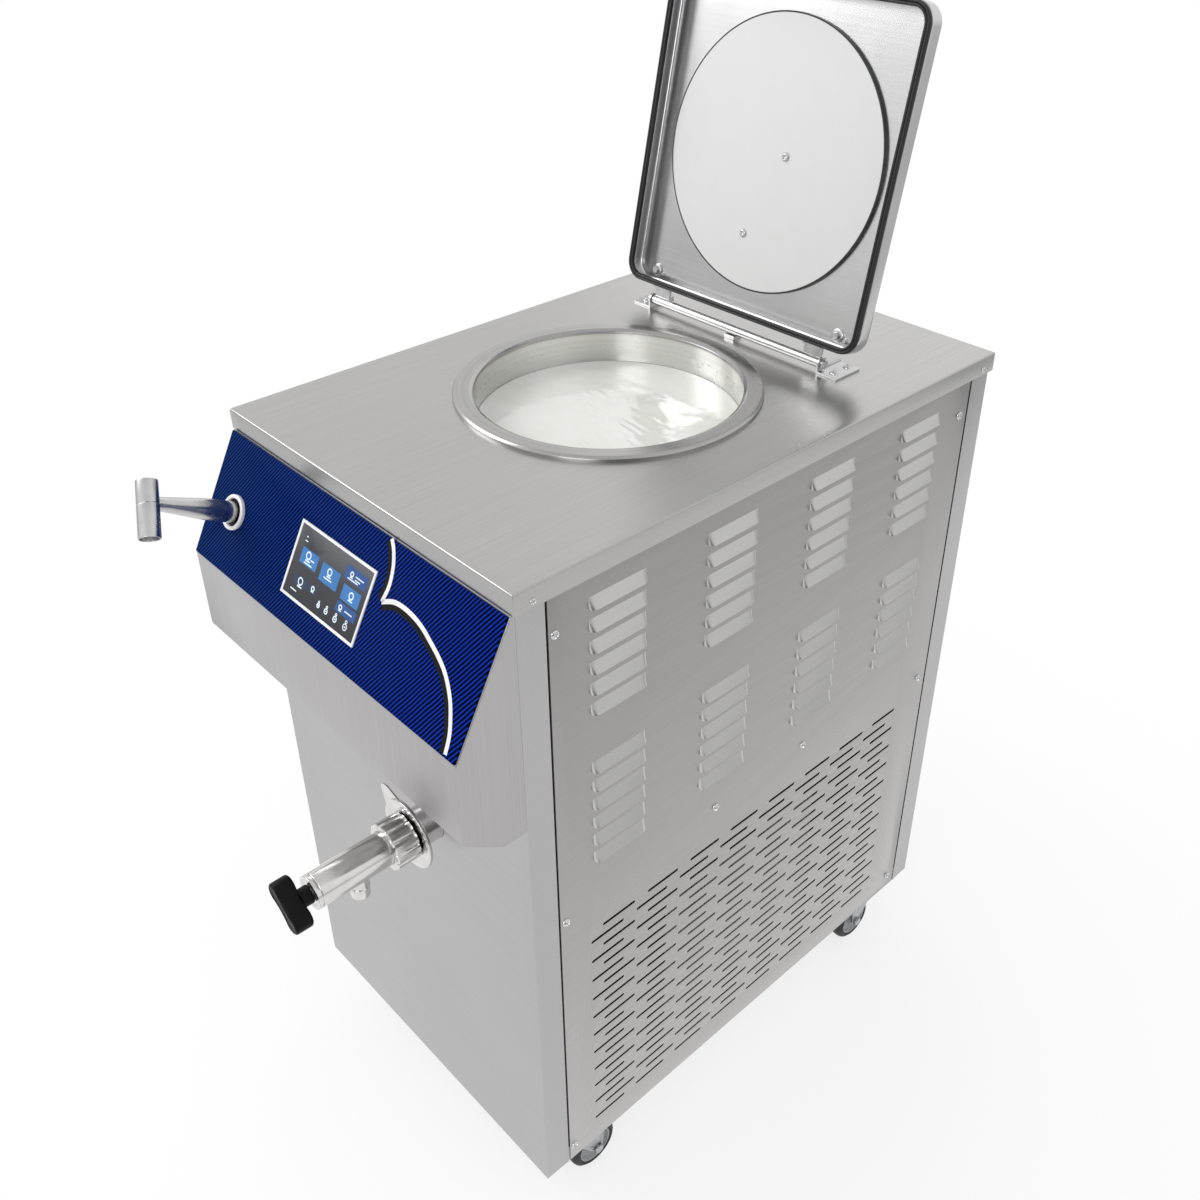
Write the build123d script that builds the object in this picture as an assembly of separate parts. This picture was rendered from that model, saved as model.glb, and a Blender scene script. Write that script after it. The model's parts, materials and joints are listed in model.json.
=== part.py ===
from build123d import *
import math
import os

os.makedirs("parts", exist_ok=True)

# Milk pasteurizer, millimetres. X is across the machine, the front faces -Y, the floor is Z = 0.

# Cabinet
cabinet_width = 560.0
cabinet_depth = 840.0
cabinet_height = 996.0
caster_height = 105.0
sheet = 1.5
cover_skirt = 26.0
cover_overhang = 4.0
panel_return = 37.0
panel_gap = 3.0
post_width = 30.0
post_depth = 60.0
post_wall = 2.0
rail_height = 30.0
tray_sheet = 2.0
tray_rim = 30.0
running_gap = 0.3
bearing_gap = 0.05
overcut = 1.0

# Rear fittings, which set how far the machine reaches back
gland_reach = 24.0
gland_radius = 12.0
gland_bore = 6.0
gland_side = 90.0
gland_height = 90.0
inlet_reach = 22.0
inlet_radius = 13.2
inlet_bore = 9.0
inlet_side = 90.0
inlet_height = 640.0
fitting_nut_radius = 18.0
fitting_nut_length = 6.0
fitting_tail = 14.0

# Louvres and slots of the side panels
louvre_length = 84.0
louvre_height = 15.0
louvre_reach = 7.0
louvre_sheet = 1.2
louvre_pitch = 28.6
louvre_rows = 6
louvre_columns = 4
louvre_front_column = 143.0
louvre_rear_column = 154.0
louvre_top = 60.0
louvre_group_pitch = 229.0
slot_length = 56.0
slot_width = 4.5
slot_shift = 20.0
slot_row_pitch = 18.4
slot_rows = 22
slot_columns = 8
slot_front = 142.0
slot_rear = 145.0
slot_bottom = 47.6
screw_head_radius = 6.0
screw_head_height = 3.0
skirt_screw_radius = 4.2
skirt_screw_inset = 25.0
skirt_screw_down = 18.0
screw_front_inset = 54.0
screw_rear_inset = 62.0
screw_top = 76.0
screw_middle_front = 510.0
screw_middle_rear = 531.0
screw_foot = 26.0
inner_screw_down = 496.0
inner_screw_front = 317.0
inner_screw_rear = 344.0

# Control head on the front
head_reach = 80.5
head_slope_drop = 148.0
head_face_height = 112.0
head_foot_drop = 37.0
head_foot_reach = 28.0
window_sill = 20.0
fascia_thickness = 2.5
fascia_margin = 2.0
screen_width = 153.0
screen_height = 92.0
screen_x = -5.0
screen_down = 89.0
bezel_border = 3.5
bezel_proud = 1.2
glass_thickness = 3.0
screen_module_depth = 26.0
screen_fit = 0.3

# Wash-down spray handle beside the screen
spray_side = 64.0
spray_down = 90.5
collar_radius = 22.3
collar_proud = 5.0
collar_stub_radius = 19.0
collar_stub = 60.0
collar_mouth_radius = 17.5
collar_mouth_depth = 7.0
guide_radius = 14.0
guide_lip_radius = 17.0
guide_lip = 3.0
spray_tail_radius = 10.0
spray_travel = 45.0
spray_engaged = 13.0
handle_root_radius = 13.5
handle_neck_radius = 8.8
handle_straight = 40.0
spray_reach = 118.0
spray_head_radius = 13.2
spray_head_up = 27.0
spray_head_down = 44.0
spray_head_turn = 37.0
spray_nozzle_radius = 11.4
spray_nozzle_depth = 14.0

# Bowl, jacket and stirrer
bowl_offset = -36.5
bowl_radius = 173.0
bowl_wall = 2.0
bowl_depth = 474.0
bowl_floor_drop = 10.0
ring_width = 26.5
ring_height = 6.5
ring_bevel = 3.0
jacket_thickness = 38.0
jacket_top_gap = 45.0
stirrer_shaft_radius = 8.0
stirrer_blade_length = 105.0
stirrer_blade_height = 26.0
stirrer_blade_thickness = 3.0
stirrer_hub_radius = 20.0
stirrer_floor_gap = 6.0
gear_neck_radius = 16.0
gear_flange_radius = 55.0
gear_flange = 8.0
gear_housing_radius = 45.0
gear_housing_length = 150.0
gear_socket_depth = 50.0
stirrer_blade_pitch = 25.0

# Drain valve
valve_x = 78.0
outlet_rise = 27.0
pipe_radius = 25.5
pipe_bore = 22.5
flange_radius = 48.0
flange_thickness = 5.0
flange_reach = 37.0
flange_ear = 22.0
flange_ear_angle = 135.0
flange_ear_spread = 24.0
flange_ear_round = 5.0
nut_radius = 32.0
nut_length = 34.0
nut_grooves = 12
nut_groove_radius = 2.6
valve_radius = 22.5
valve_bore = 18.5
valve_reach = 175.0
valve_cap = 6.0
spout_radius = 12.0
spout_bore = 9.5
spout_reach = 74.0
spout_drop = 26.0
plunger_length = 16.0
plunger_gap = 0.08
spindle_radius = 6.0
spindle_seat = 8.0
knob_hub_radius = 12.0
knob_hub_length = 13.0
knob_span = 68.0
knob_waist = 20.0
knob_lobe_radius = 12.0
knob_length = 24.0
knob_lobe_lean = 40.0
valve_travel = 42.0

# Lid and its hinge
lid_width = 421.0
lid_length = 425.0
lid_depth = 28.0
lid_corner = 27.0
lid_sheet = 1.2
lid_flange = 9.0
lid_open_angle = 101.94
lid_seat_gap = 0.4
gasket_height = 5.0
gasket_inset = 0.6
liner_radius = 178.5
liner_thickness = 5.0
liner_screw_middle = (25.0, 4.0)
liner_screw_edge = (-22.0, -106.0)
hinge_rear = 21.8
hinge_lift = 12.0
hinge_rod_radius = 4.0
hinge_tube_radius = 6.5
hinge_span = 311.0
leaf_width = 30.0
leaf_thickness = 3.0
leaf_height = 20.0
bracket_length = 50.0
bracket_width = 34.0
bracket_plate = 3.0
bracket_front = 9.0
bracket_bolt_out = 20.0
bracket_bolt_setback = 4.5
bracket_bolt_pitch = 27.5
rod_nut_radius = 7.0
rod_nut_length = 5.0
saddle_width = 18.0
saddle_length = 16.0

# Casters
wheel_radius = 40.0
wheel_width = 26.0
tyre_thickness = 11.0
caster_trail = 28.0
caster_inset_x = 39.0
caster_inset_y = 84.0
caster_plate_size = 64.0
caster_plate_thickness = 3.0
kingpin_radius = 5.0
swivel_cup_radius = 15.0
fork_leg = 3.0
fork_leg_width = 30.0
fork_eye = 10.0
fork_crown_gap = 5.0
fork_crown = 4.0
fork_side_gap = 1.2
axle_radius = 4.0
axle_nut_radius = 7.5
axle_nut_length = 5.0

# Refrigeration and electrics inside
compressor_radius = 78.0
compressor_height = 190.0
compressor_side = 184.0
compressor_setback = 180.0
compressor_foot = 12.0
compressor_foot_half = 70.0
compressor_dome = 39.0
condenser_thickness = 60.0
condenser_length = 320.0
condenser_height = 330.0
fan_radius = 120.0
fan_hub_radius = 32.0
fan_depth = 26.0
fan_blade_count = 5
fan_blade_sheet = 2.5
fan_blade_pitch = 60.0
fan_blade_root = 4.0
fan_shaft_radius = 5.0
fan_motor_radius = 38.0
fan_motor_length = 70.0
fan_stand_width = 60.0
fan_stand_depth = 30.0
electrical_width = 240.0
electrical_depth = 110.0
electrical_height = 250.0

# Levels and planes worked out from the sizes above
knob_reach = valve_reach + knob_hub_length + knob_length
rear_reach = max(gland_reach, inlet_reach)
front_y = (knob_reach - cabinet_depth - rear_reach) / 2
rear_y = front_y + cabinet_depth
body_front_y = front_y + cover_overhang
body_rear_y = rear_y - cover_overhang
body_half = cabinet_width / 2 - cover_overhang
base_z = caster_height
top_z = base_z + cabinet_height
skirt_z = top_z - cover_skirt
under_cover_z = top_z - sheet
centre_y = (front_y + rear_y) / 2
bowl_y = centre_y + bowl_offset
bowl_floor_z = top_z - bowl_depth
valve_z = bowl_floor_z + outlet_rise
inner_x = body_half - sheet
inner_front_y = body_front_y + sheet
inner_rear_y = body_rear_y - sheet
tray_floor_z = base_z + tray_sheet
gland_x = gland_side - cabinet_width / 2
inlet_x = inlet_side - cabinet_width / 2
compressor_x = compressor_side - cabinet_width / 2
spray_x = spray_side - cabinet_width / 2


def block(x0, x1, y0, y1, z0, z1):
    """A box between two opposite corners."""
    return Pos((x0 + x1) / 2, (y0 + y1) / 2, (z0 + z1) / 2) * Box(x1 - x0, y1 - y0, z1 - z0)


def rod(start, end, radius):
    """A round bar from one point to another."""
    start, end = Vector(*start), Vector(*end)
    along = end - start
    plane = Plane(origin=start, z_dir=along)
    return extrude(plane * Circle(radius), along.length)


def tube(start, end, radius, bore):
    """A round tube from one point to another."""
    return rod(start, end, radius) - rod(start, end, bore)


def hex_bar(start, end, radius):
    """A hexagonal bar, with radius measured to its corners."""
    start, end = Vector(*start), Vector(*end)
    along = end - start
    plane = Plane(origin=start, z_dir=along)
    return extrude(plane * RegularPolygon(radius, 6), along.length)


def revolved(points, x, y):
    """A ring or cup from (radius, height) points, turned about the vertical line through x and y."""
    profile = make_face(Plane.XZ * Polyline(*points, close=True))
    return Pos(x, y, 0) * revolve(profile, Axis.Z)


def save(node, shape):
    """Writes one sub-part."""
    shape.label = node
    export_step(shape, f"parts/{node}.step")


def group(shapes):
    """Several separate solids kept in one sub-part."""
    return Compound(children=[solid for shape in shapes for solid in shape.solids()])


def tray():
    """The folded floor tray that everything stands on."""
    outer = block(-inner_x, inner_x, inner_front_y, inner_rear_y, base_z, base_z + tray_rim)
    inner = block(-inner_x + tray_sheet, inner_x - tray_sheet, inner_front_y + tray_sheet,
                  inner_rear_y - tray_sheet, tray_floor_z, base_z + tray_rim + overcut)
    return outer - inner


def post(side, end):
    """A corner post of rectangular tube, standing in the tray."""
    x1 = inner_x - tray_sheet
    x0 = x1 - post_width
    y0 = inner_front_y + tray_sheet
    y1 = y0 + post_depth
    if end > 0:
        y0, y1 = inner_rear_y - tray_sheet - post_depth, inner_rear_y - tray_sheet
    if side < 0:
        x0, x1 = -x1, -x0
    outer = block(x0, x1, y0, y1, tray_floor_z, under_cover_z)
    inner = block(x0 + post_wall, x1 - post_wall, y0 + post_wall, y1 - post_wall,
                  tray_floor_z, under_cover_z)
    return outer - inner


def cross_rails():
    """The two tubes that tie the posts together under the cover."""
    reach = inner_x - tray_sheet - post_width
    y_front = inner_front_y + tray_sheet
    y_rear = inner_rear_y - tray_sheet - post_width
    rails = []
    for y0 in (y_front, y_rear):
        y1 = y0 + post_width
        bar = block(-reach, reach, y0, y1, under_cover_z - rail_height, under_cover_z)
        bore = block(-reach, reach, y0 + post_wall, y1 - post_wall,
                     under_cover_z - rail_height + post_wall, under_cover_z - post_wall)
        rails.append(bar - bore)
    return group(rails)


def wrap_panel(front):
    """The front or rear sheet, folded round both corners."""
    face_y = body_front_y if front else body_rear_y
    inward = 1 if front else -1
    ys = sorted((face_y, face_y + inward * (sheet + panel_return)))
    cut = sorted((face_y + inward * sheet, face_y + inward * (sheet + panel_return + overcut)))
    outer = block(-body_half, body_half, ys[0], ys[1], base_z, under_cover_z)
    return outer - block(-inner_x, inner_x, cut[0], cut[1], base_z, under_cover_z)


def front_panel():
    """The front sheet, with its window behind the control head and its hole for the outlet pipe."""
    reach = body_half - panel_return
    window = block(-reach, reach, body_front_y - overcut, inner_front_y + overcut,
                   head_foot_z + window_sill, skirt_z - window_sill)
    pipe_hole = rod((valve_x, body_front_y - overcut, valve_z), (valve_x, inner_front_y + overcut, valve_z),
                    pipe_radius + running_gap)
    return wrap_panel(True) - window - pipe_hole


def louvre_outline(inset):
    """Side view of a louvre hood: outward distance from the sheet, and height about its middle."""
    half = louvre_height / 2
    if inset:
        return [(-sheet, half - inset), (0, half - inset), (louvre_reach - inset, -half), (-sheet, -half)]
    return [(0, half), (louvre_reach, -half), (0, -half)]


def louvre_prism(inset, side, y, z):
    """A louvre hood, or the space under it when inset by the sheet."""
    half_length = louvre_length / 2 - inset
    points = [(side * (body_half + u), y - half_length, z + w) for u, w in louvre_outline(inset)]
    return extrude(make_face(Polyline(*points, close=True)), 2 * half_length, dir=(0, 1, 0))


def side_panel(side, groups, slotted):
    """A side sheet with its pressed louvres and, on the air inlet side, its field of slots."""
    y0 = body_front_y + sheet + panel_return + panel_gap
    y1 = body_rear_y - sheet - panel_return - panel_gap
    xs = sorted((side * inner_x, side * body_half))
    panel = block(xs[0], xs[1], y0, y1, base_z, under_cover_z)
    hoods, spaces = [], []
    pitch = (cabinet_depth - louvre_front_column - louvre_rear_column) / (louvre_columns - 1)
    for column in range(louvre_columns):
        y = front_y + louvre_front_column + column * pitch
        for index in range(groups):
            for row in range(louvre_rows):
                z = top_z - louvre_top - index * louvre_group_pitch - row * louvre_pitch
                hoods.append(louvre_prism(0, side, y, z))
                spaces.append(louvre_prism(louvre_sheet, side, y, z))
    panel = panel + hoods - spaces
    if not slotted:
        return panel
    slots = []
    pitch = (cabinet_depth - slot_front - slot_rear) / (slot_columns - 1)
    for row in range(slot_rows):
        z = base_z + slot_bottom + row * slot_row_pitch
        shift = 0 if row % 2 else slot_shift
        for column in range(slot_columns):
            y = front_y + slot_front + column * pitch - shift
            slots.append(block(xs[0] - overcut, xs[1] + overcut, y - slot_length / 2, y + slot_length / 2,
                               z - slot_width / 2, z + slot_width / 2))
    return panel - slots


def top_cover():
    """The folded cover with its round hole for the bowl."""
    half = cabinet_width / 2
    outer = block(-half, half, front_y, rear_y, skirt_z, top_z)
    inner = block(-half + sheet, half - sheet, front_y + sheet, rear_y - sheet, skirt_z, under_cover_z)
    hole = rod((0, bowl_y, skirt_z), (0, bowl_y, top_z), bowl_radius + bowl_wall + running_gap)
    return outer - inner - hole


head_front_y = front_y - head_reach
head_top = Vector(0, front_y, skirt_z)
head_knee = Vector(0, head_front_y, skirt_z - head_slope_drop)
head_slope = (head_knee - head_top).length
head_normal = Vector(0, -head_slope_drop, head_reach).normalized()
slope_plane = Plane(origin=head_top, x_dir=(1, 0, 0), z_dir=head_normal)
head_foot_z = head_knee.Z - head_face_height - head_foot_drop


def head_profile():
    """Side view of the control head."""
    return [(0, body_front_y, skirt_z), (0, head_top.Y, skirt_z), (0, head_knee.Y, head_knee.Z),
            (0, head_knee.Y, head_knee.Z - head_face_height), (0, front_y - head_foot_reach, head_foot_z),
            (0, body_front_y, head_foot_z)]


def on_slope(x, down, lift):
    """A point of the sloped face: across, down the slope, and out from it."""
    return slope_plane.from_local_coords((x, -down, lift))


def slope_block(x0, x1, down0, down1, lift0, lift1):
    """A box laid on the sloped face."""
    shape = Pos((x0 + x1) / 2, -(down0 + down1) / 2, (lift0 + lift1) / 2)
    return slope_plane * shape * Box(x1 - x0, down1 - down0, lift1 - lift0)


def slope_rod(x, down, lift0, lift1, radius):
    """A round bar square to the sloped face."""
    return rod(on_slope(x, down, lift0), on_slope(x, down, lift1), radius)


def screen_block(grow, lift0, lift1):
    """The screen's rectangle, grown by a margin, between two heights."""
    half_x = screen_width / 2 + grow
    half_v = screen_height / 2 + grow
    return slope_block(screen_x - half_x, screen_x + half_x, screen_down - half_v, screen_down + half_v,
                       lift0, lift1)


def control_head():
    """The folded head that carries the controls, open at the back."""
    profile = make_face(Polyline(*head_profile(), close=True))
    solid = Pos(-body_half, 0, 0) * extrude(profile, 2 * body_half, dir=(1, 0, 0))
    back = solid.faces().sort_by(Axis.Y)[-1]
    shell = offset(solid, amount=-sheet, openings=back)
    window = screen_block(-bezel_border, -sheet - overcut, overcut)
    socket = slope_rod(spray_x, spray_down, -sheet - overcut, overcut, collar_stub_radius + screen_fit)
    return shell - window - socket


def control_fascia():
    """The printed plate over the sloped face."""
    plate = slope_block(-body_half + fascia_margin, body_half - fascia_margin, fascia_margin,
                        head_slope - fascia_margin, 0, fascia_thickness)
    window = screen_block(screen_fit, -overcut, fascia_thickness + overcut)
    socket = slope_rod(spray_x, spray_down, -overcut, fascia_thickness + overcut,
                       collar_stub_radius + screen_fit)
    return plate - window - socket


def screen_bezel():
    """The pale frame round the display."""
    frame = screen_block(0, 0, fascia_thickness + bezel_proud)
    return frame - screen_block(-bezel_border, -overcut, fascia_thickness + bezel_proud + overcut)


def touch_screen():
    """The glass and the module behind it."""
    margin = -bezel_border - screen_fit
    glass = screen_block(margin, 0, glass_thickness)
    return glass + screen_block(margin, -screen_module_depth, 0)


def spray_collar():
    """The fixed collar that the spray handle parks in."""
    lift = fascia_thickness
    body = slope_rod(spray_x, spray_down, lift, lift + collar_proud, collar_radius)
    body += slope_rod(spray_x, spray_down, -collar_stub, lift, collar_stub_radius)
    body -= slope_rod(spray_x, spray_down, -collar_stub, lift + collar_proud, guide_radius + bearing_gap)
    mouth = lift + collar_proud - collar_mouth_depth
    return body - slope_rod(spray_x, spray_down, mouth, lift + collar_proud + overcut, collar_mouth_radius)


def spray_guide():
    """The sleeve that turns in the collar and that the handle slides in."""
    mouth = fascia_thickness + collar_proud - collar_mouth_depth
    lip = mouth + running_gap
    sleeve = slope_rod(spray_x, spray_down, -collar_stub, lip + guide_lip, guide_radius)
    sleeve += slope_rod(spray_x, spray_down, lip, lip + guide_lip, guide_lip_radius)
    return sleeve - slope_rod(spray_x, spray_down, -collar_stub - overcut, lip + guide_lip + overcut,
                              spray_tail_radius + bearing_gap)


def spray_handle():
    """The tapered hand grip with the tail that stays in the guide."""
    seat = fascia_thickness + collar_proud - collar_mouth_depth + 2 * running_gap + guide_lip
    neck = spray_reach - spray_head_radius / 2
    grip = slope_rod(spray_x, spray_down, seat, seat + handle_straight, handle_root_radius)
    place = Pos(spray_x, -spray_down)
    taper_start = slope_plane.offset(seat + handle_straight) * place * Circle(handle_root_radius)
    taper_end = slope_plane.offset(neck) * place * Circle(handle_neck_radius)
    grip += loft([taper_start, taper_end])
    tail = seat - spray_travel - spray_engaged
    grip += slope_rod(spray_x, spray_down, tail, seat, spray_tail_radius)
    return grip - spray_barrel()


def on_barrel(along):
    """A point of the spray barrel's axis, measured from the grip towards the nozzle."""
    turn = math.radians(spray_head_turn)
    return on_slope(spray_x + along * math.sin(turn), spray_down + along * math.cos(turn), spray_reach)


def spray_barrel():
    """The crosswise barrel at the end of the grip."""
    return rod(on_barrel(-spray_head_up), on_barrel(spray_head_down), spray_head_radius)


def spray_head():
    """The barrel with its open nozzle end."""
    nozzle = rod(on_barrel(spray_head_down - spray_nozzle_depth), on_barrel(spray_head_down + overcut),
                 spray_nozzle_radius)
    return spray_barrel() - nozzle


jacket_floor_z = bowl_floor_z - bowl_floor_drop - bowl_wall - jacket_thickness


def bowl():
    """The bowl: a deep cup whose floor falls to the middle."""
    outer = bowl_radius + bowl_wall
    points = [(gear_neck_radius, bowl_floor_z - bowl_floor_drop), (bowl_radius, bowl_floor_z),
              (bowl_radius, top_z), (outer, top_z), (outer, bowl_floor_z - bowl_wall),
              (gear_neck_radius, bowl_floor_z - bowl_floor_drop - bowl_wall)]
    cup = revolved(points, 0, bowl_y)
    return cup - rod((valve_x, bowl_y, valve_z), (valve_x, bowl_y - 2 * bowl_radius, valve_z), pipe_bore)


def bowl_ring():
    """The bevelled rim ring round the mouth of the bowl."""
    outer = bowl_radius + ring_width
    points = [(bowl_radius, top_z), (bowl_radius, top_z + ring_height - ring_bevel),
              (bowl_radius + 2 * ring_bevel, top_z + ring_height),
              (outer - ring_bevel, top_z + ring_height),
              (outer, top_z + ring_height - ring_bevel), (outer, top_z)]
    return revolved(points, 0, bowl_y)


def jacket():
    """The heating and cooling jacket with its insulation."""
    inner = bowl_radius + bowl_wall + running_gap
    outer = inner + jacket_thickness
    floor = bowl_floor_z - bowl_floor_drop - bowl_wall - running_gap
    top = top_z - jacket_top_gap
    points = [(gear_neck_radius, floor), (inner, floor), (inner, top), (outer, top),
              (outer, jacket_floor_z), (gear_neck_radius, jacket_floor_z)]
    body = revolved(points, 0, bowl_y)
    reach = bowl_y - 2 * bowl_radius
    return body - rod((valve_x, bowl_y, valve_z), (valve_x, reach, valve_z), pipe_radius + running_gap)


def outlet_pipe():
    """The outlet from the bowl to the front, with the round flange and its finger ear."""
    flange_y = body_front_y - flange_reach
    pipe = rod((valve_x, bowl_y, valve_z), (valve_x, flange_y, valve_z), pipe_radius)
    pipe -= rod((0, bowl_y, valve_z - bowl_radius), (0, bowl_y, valve_z + bowl_radius),
                bowl_radius + bowl_wall)
    disc = rod((valve_x, flange_y + flange_thickness, valve_z), (valve_x, flange_y, valve_z), flange_radius)
    face = Plane(origin=(0, flange_y, 0), x_dir=(1, 0, 0), z_dir=(0, -1, 0))
    root = flange_radius - flange_ear_round
    tip = flange_radius + flange_ear - flange_ear_round
    patches = []
    for turn, reach in ((0, tip), (flange_ear_spread, root), (-flange_ear_spread, root)):
        angle = math.radians(flange_ear_angle + turn)
        place = Pos(valve_x + reach * math.cos(angle), valve_z + reach * math.sin(angle))
        patches.append(place * Circle(flange_ear_round))
    outline = make_hull([edge for patch in patches for edge in patch.edges()])
    ear = extrude(face * outline, -flange_thickness / 2)
    bore = rod((valve_x, bowl_y, valve_z), (valve_x, flange_y - overcut, valve_z), pipe_bore)
    return pipe + disc + ear - bore


def union_nut():
    """The grooved nut that clamps the valve to the flange."""
    start = body_front_y - flange_reach
    end = start - nut_length
    nut = tube((valve_x, start, valve_z), (valve_x, end, valve_z), nut_radius, valve_radius + running_gap)
    grooves = []
    for index in range(nut_grooves):
        angle = 2 * math.pi * index / nut_grooves
        x = valve_x + nut_radius * math.cos(angle)
        z = valve_z + nut_radius * math.sin(angle)
        groove = Pos(x, (start + end) / 2, z) * Rot(0, -math.degrees(angle), 0)
        grooves.append(groove * Box(2 * nut_groove_radius, nut_length + 2 * overcut, 2 * nut_groove_radius))
    return nut - grooves


spout_y = body_front_y - flange_reach - spout_reach
plunger_y = spout_y - spout_radius + valve_travel


def valve_body():
    """The valve barrel with its end cap and the spout beneath."""
    start = body_front_y - flange_reach
    end = body_front_y - valve_reach
    spout_top = (valve_x, spout_y, valve_z)
    spout_end = (valve_x, spout_y, valve_z - valve_radius - spout_drop)
    body = rod((valve_x, start, valve_z), (valve_x, end, valve_z), valve_radius)
    body += rod(spout_top, spout_end, spout_radius)
    body -= rod((valve_x, start, valve_z), (valve_x, end + valve_cap, valve_z), valve_bore)
    body -= rod(spout_top, spout_end, spout_bore)
    return body - rod((valve_x, start, valve_z), (valve_x, end, valve_z), spindle_radius + bearing_gap)


def valve_plunger():
    """The plunger that shuts the outlet, with a socket for the spindle's end."""
    back = plunger_y - plunger_length
    body = rod((valve_x, plunger_y, valve_z), (valve_x, back, valve_z), valve_bore - plunger_gap)
    return body - rod((valve_x, back + spindle_seat, valve_z), (valve_x, back, valve_z),
                      spindle_radius + bearing_gap)


def valve_spindle():
    """The spindle from the plunger to the knob."""
    start = plunger_y - plunger_length + spindle_seat - running_gap
    end = body_front_y - valve_reach - knob_hub_length
    return rod((valve_x, start, valve_z), (valve_x, end, valve_z), spindle_radius)


def valve_knob():
    """The two-lobed grip on its hub."""
    hub_start = body_front_y - valve_reach - running_gap
    hub_end = body_front_y - valve_reach - knob_hub_length
    knob_end = hub_end - knob_length
    hub = rod((valve_x, hub_start, valve_z), (valve_x, hub_end, valve_z), knob_hub_radius)
    hub -= rod((valve_x, hub_start, valve_z), (valve_x, hub_end, valve_z), spindle_radius)
    plane = Plane(origin=(valve_x, knob_end, valve_z), x_dir=(1, 0, 0), z_dir=(0, 1, 0))
    lobe_at = knob_span / 2 - knob_lobe_radius
    outline = Rectangle(2 * lobe_at, knob_waist)
    for sign in (-1, 1):
        outline += Pos(sign * lobe_at, 0) * Circle(knob_lobe_radius)
    return hub + extrude(plane * Rot(0, 0, knob_lobe_lean) * outline, knob_length)


hinge_y = bowl_y + lid_length / 2 + hinge_rear
hinge_z = top_z + hinge_lift
lid_seat_z = top_z + lid_seat_gap
lid_back_z = lid_seat_z + lid_depth


def opened(shape):
    """Swings a piece of the shut lid up to where the lid stands open."""
    return Pos(0, hinge_y, hinge_z) * Rot(-lid_open_angle, 0, 0) * Pos(0, -hinge_y, -hinge_z) * shape


def lid_block(inset, z0, z1):
    """The lid's rounded square, drawn in, between two heights."""
    outline = RectangleRounded(lid_width - 2 * inset, lid_length - 2 * inset, lid_corner - inset)
    return Pos(0, bowl_y, z0) * extrude(outline, z1 - z0)


def lid_shell():
    """The tray-shaped lid with the inward flange that holds its gasket."""
    flange_z = lid_seat_z + gasket_height
    tray_shape = lid_block(0, flange_z, lid_back_z)
    tray_shape -= lid_block(lid_sheet, flange_z + lid_sheet, lid_back_z - lid_sheet)
    return opened(tray_shape - lid_block(lid_flange, flange_z - overcut, flange_z + 2 * lid_sheet))


def lid_gasket():
    """The rubber strip round the lid's edge."""
    flange_z = lid_seat_z + gasket_height
    strip = lid_block(gasket_inset, lid_seat_z, flange_z)
    return opened(strip - lid_block(lid_flange, lid_seat_z - overcut, flange_z + overcut))


def lid_liner():
    """The round pale plate inside the lid."""
    floor = lid_back_z - lid_sheet
    return opened(rod((0, bowl_y, floor - liner_thickness), (0, bowl_y, floor), liner_radius))


def liner_screws():
    """The two button heads on the liner."""
    face = lid_back_z - lid_sheet - liner_thickness
    heads = []
    for x, forward in (liner_screw_middle, liner_screw_edge):
        y = bowl_y - forward
        heads.append(opened(rod((x, y, face - screw_head_height), (x, y, face), screw_head_radius)))
    return group(heads)


def lid_hinge_leaf():
    """The two leaves on the lid's edge and the long tube that turns on the hinge rod."""
    lid_rear = bowl_y + lid_length / 2
    half = hinge_span / 2 - running_gap
    part = rod((-half, hinge_y, hinge_z), (half, hinge_y, hinge_z), hinge_tube_radius)
    for side in (-1, 1):
        xs = sorted((side * half, side * (half - leaf_width)))
        z0 = lid_seat_z + gasket_height
        part += block(xs[0], xs[1], lid_rear, lid_rear + leaf_thickness, z0, z0 + leaf_height)
        part += block(xs[0], xs[1], lid_rear, hinge_y,
                      hinge_z - leaf_thickness / 2, hinge_z + leaf_thickness / 2)
    bore = rod((-half, hinge_y, hinge_z), (half, hinge_y, hinge_z), hinge_rod_radius + bearing_gap)
    return opened(part - bore)


def hinge_brackets():
    """The two angle brackets that hold the rod, and the saddle under its middle."""
    pieces = []
    y0 = hinge_y - bracket_front
    y1 = y0 + bracket_length
    for side in (-1, 1):
        inner = side * hinge_span / 2
        outer = side * (hinge_span / 2 + bracket_plate)
        far = side * (hinge_span / 2 + bracket_width)
        xs, feet = sorted((inner, outer)), sorted((inner, far))
        upright = block(xs[0], xs[1], y0, hinge_y + bracket_front, top_z, hinge_z)
        upright += block(xs[0], xs[1], y0, y1, top_z, top_z + 2 * bracket_plate)
        upright += rod((xs[0], hinge_y, hinge_z), (xs[1], hinge_y, hinge_z), bracket_front)
        upright += block(feet[0], feet[1], y0, y1, top_z, top_z + bracket_plate)
        pieces.append(upright - rod((xs[0], hinge_y, hinge_z), (xs[1], hinge_y, hinge_z), hinge_rod_radius))
    saddle_top = hinge_z - hinge_tube_radius - running_gap
    saddle = block(-saddle_width / 2, saddle_width / 2, hinge_y - saddle_length / 2,
                   hinge_y + saddle_length / 2, top_z, saddle_top)
    pieces.append(saddle)
    return group(pieces)


def hinge_rod():
    """The rod through both brackets, with a nut at each end."""
    reach = hinge_span / 2 + bracket_plate
    bar = rod((-reach, hinge_y, hinge_z), (reach, hinge_y, hinge_z), hinge_rod_radius)
    for side in (-1, 1):
        start = (side * reach, hinge_y, hinge_z)
        end = (side * (reach + rod_nut_length), hinge_y, hinge_z)
        bar += hex_bar(start, end, rod_nut_radius)
    return bar


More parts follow.
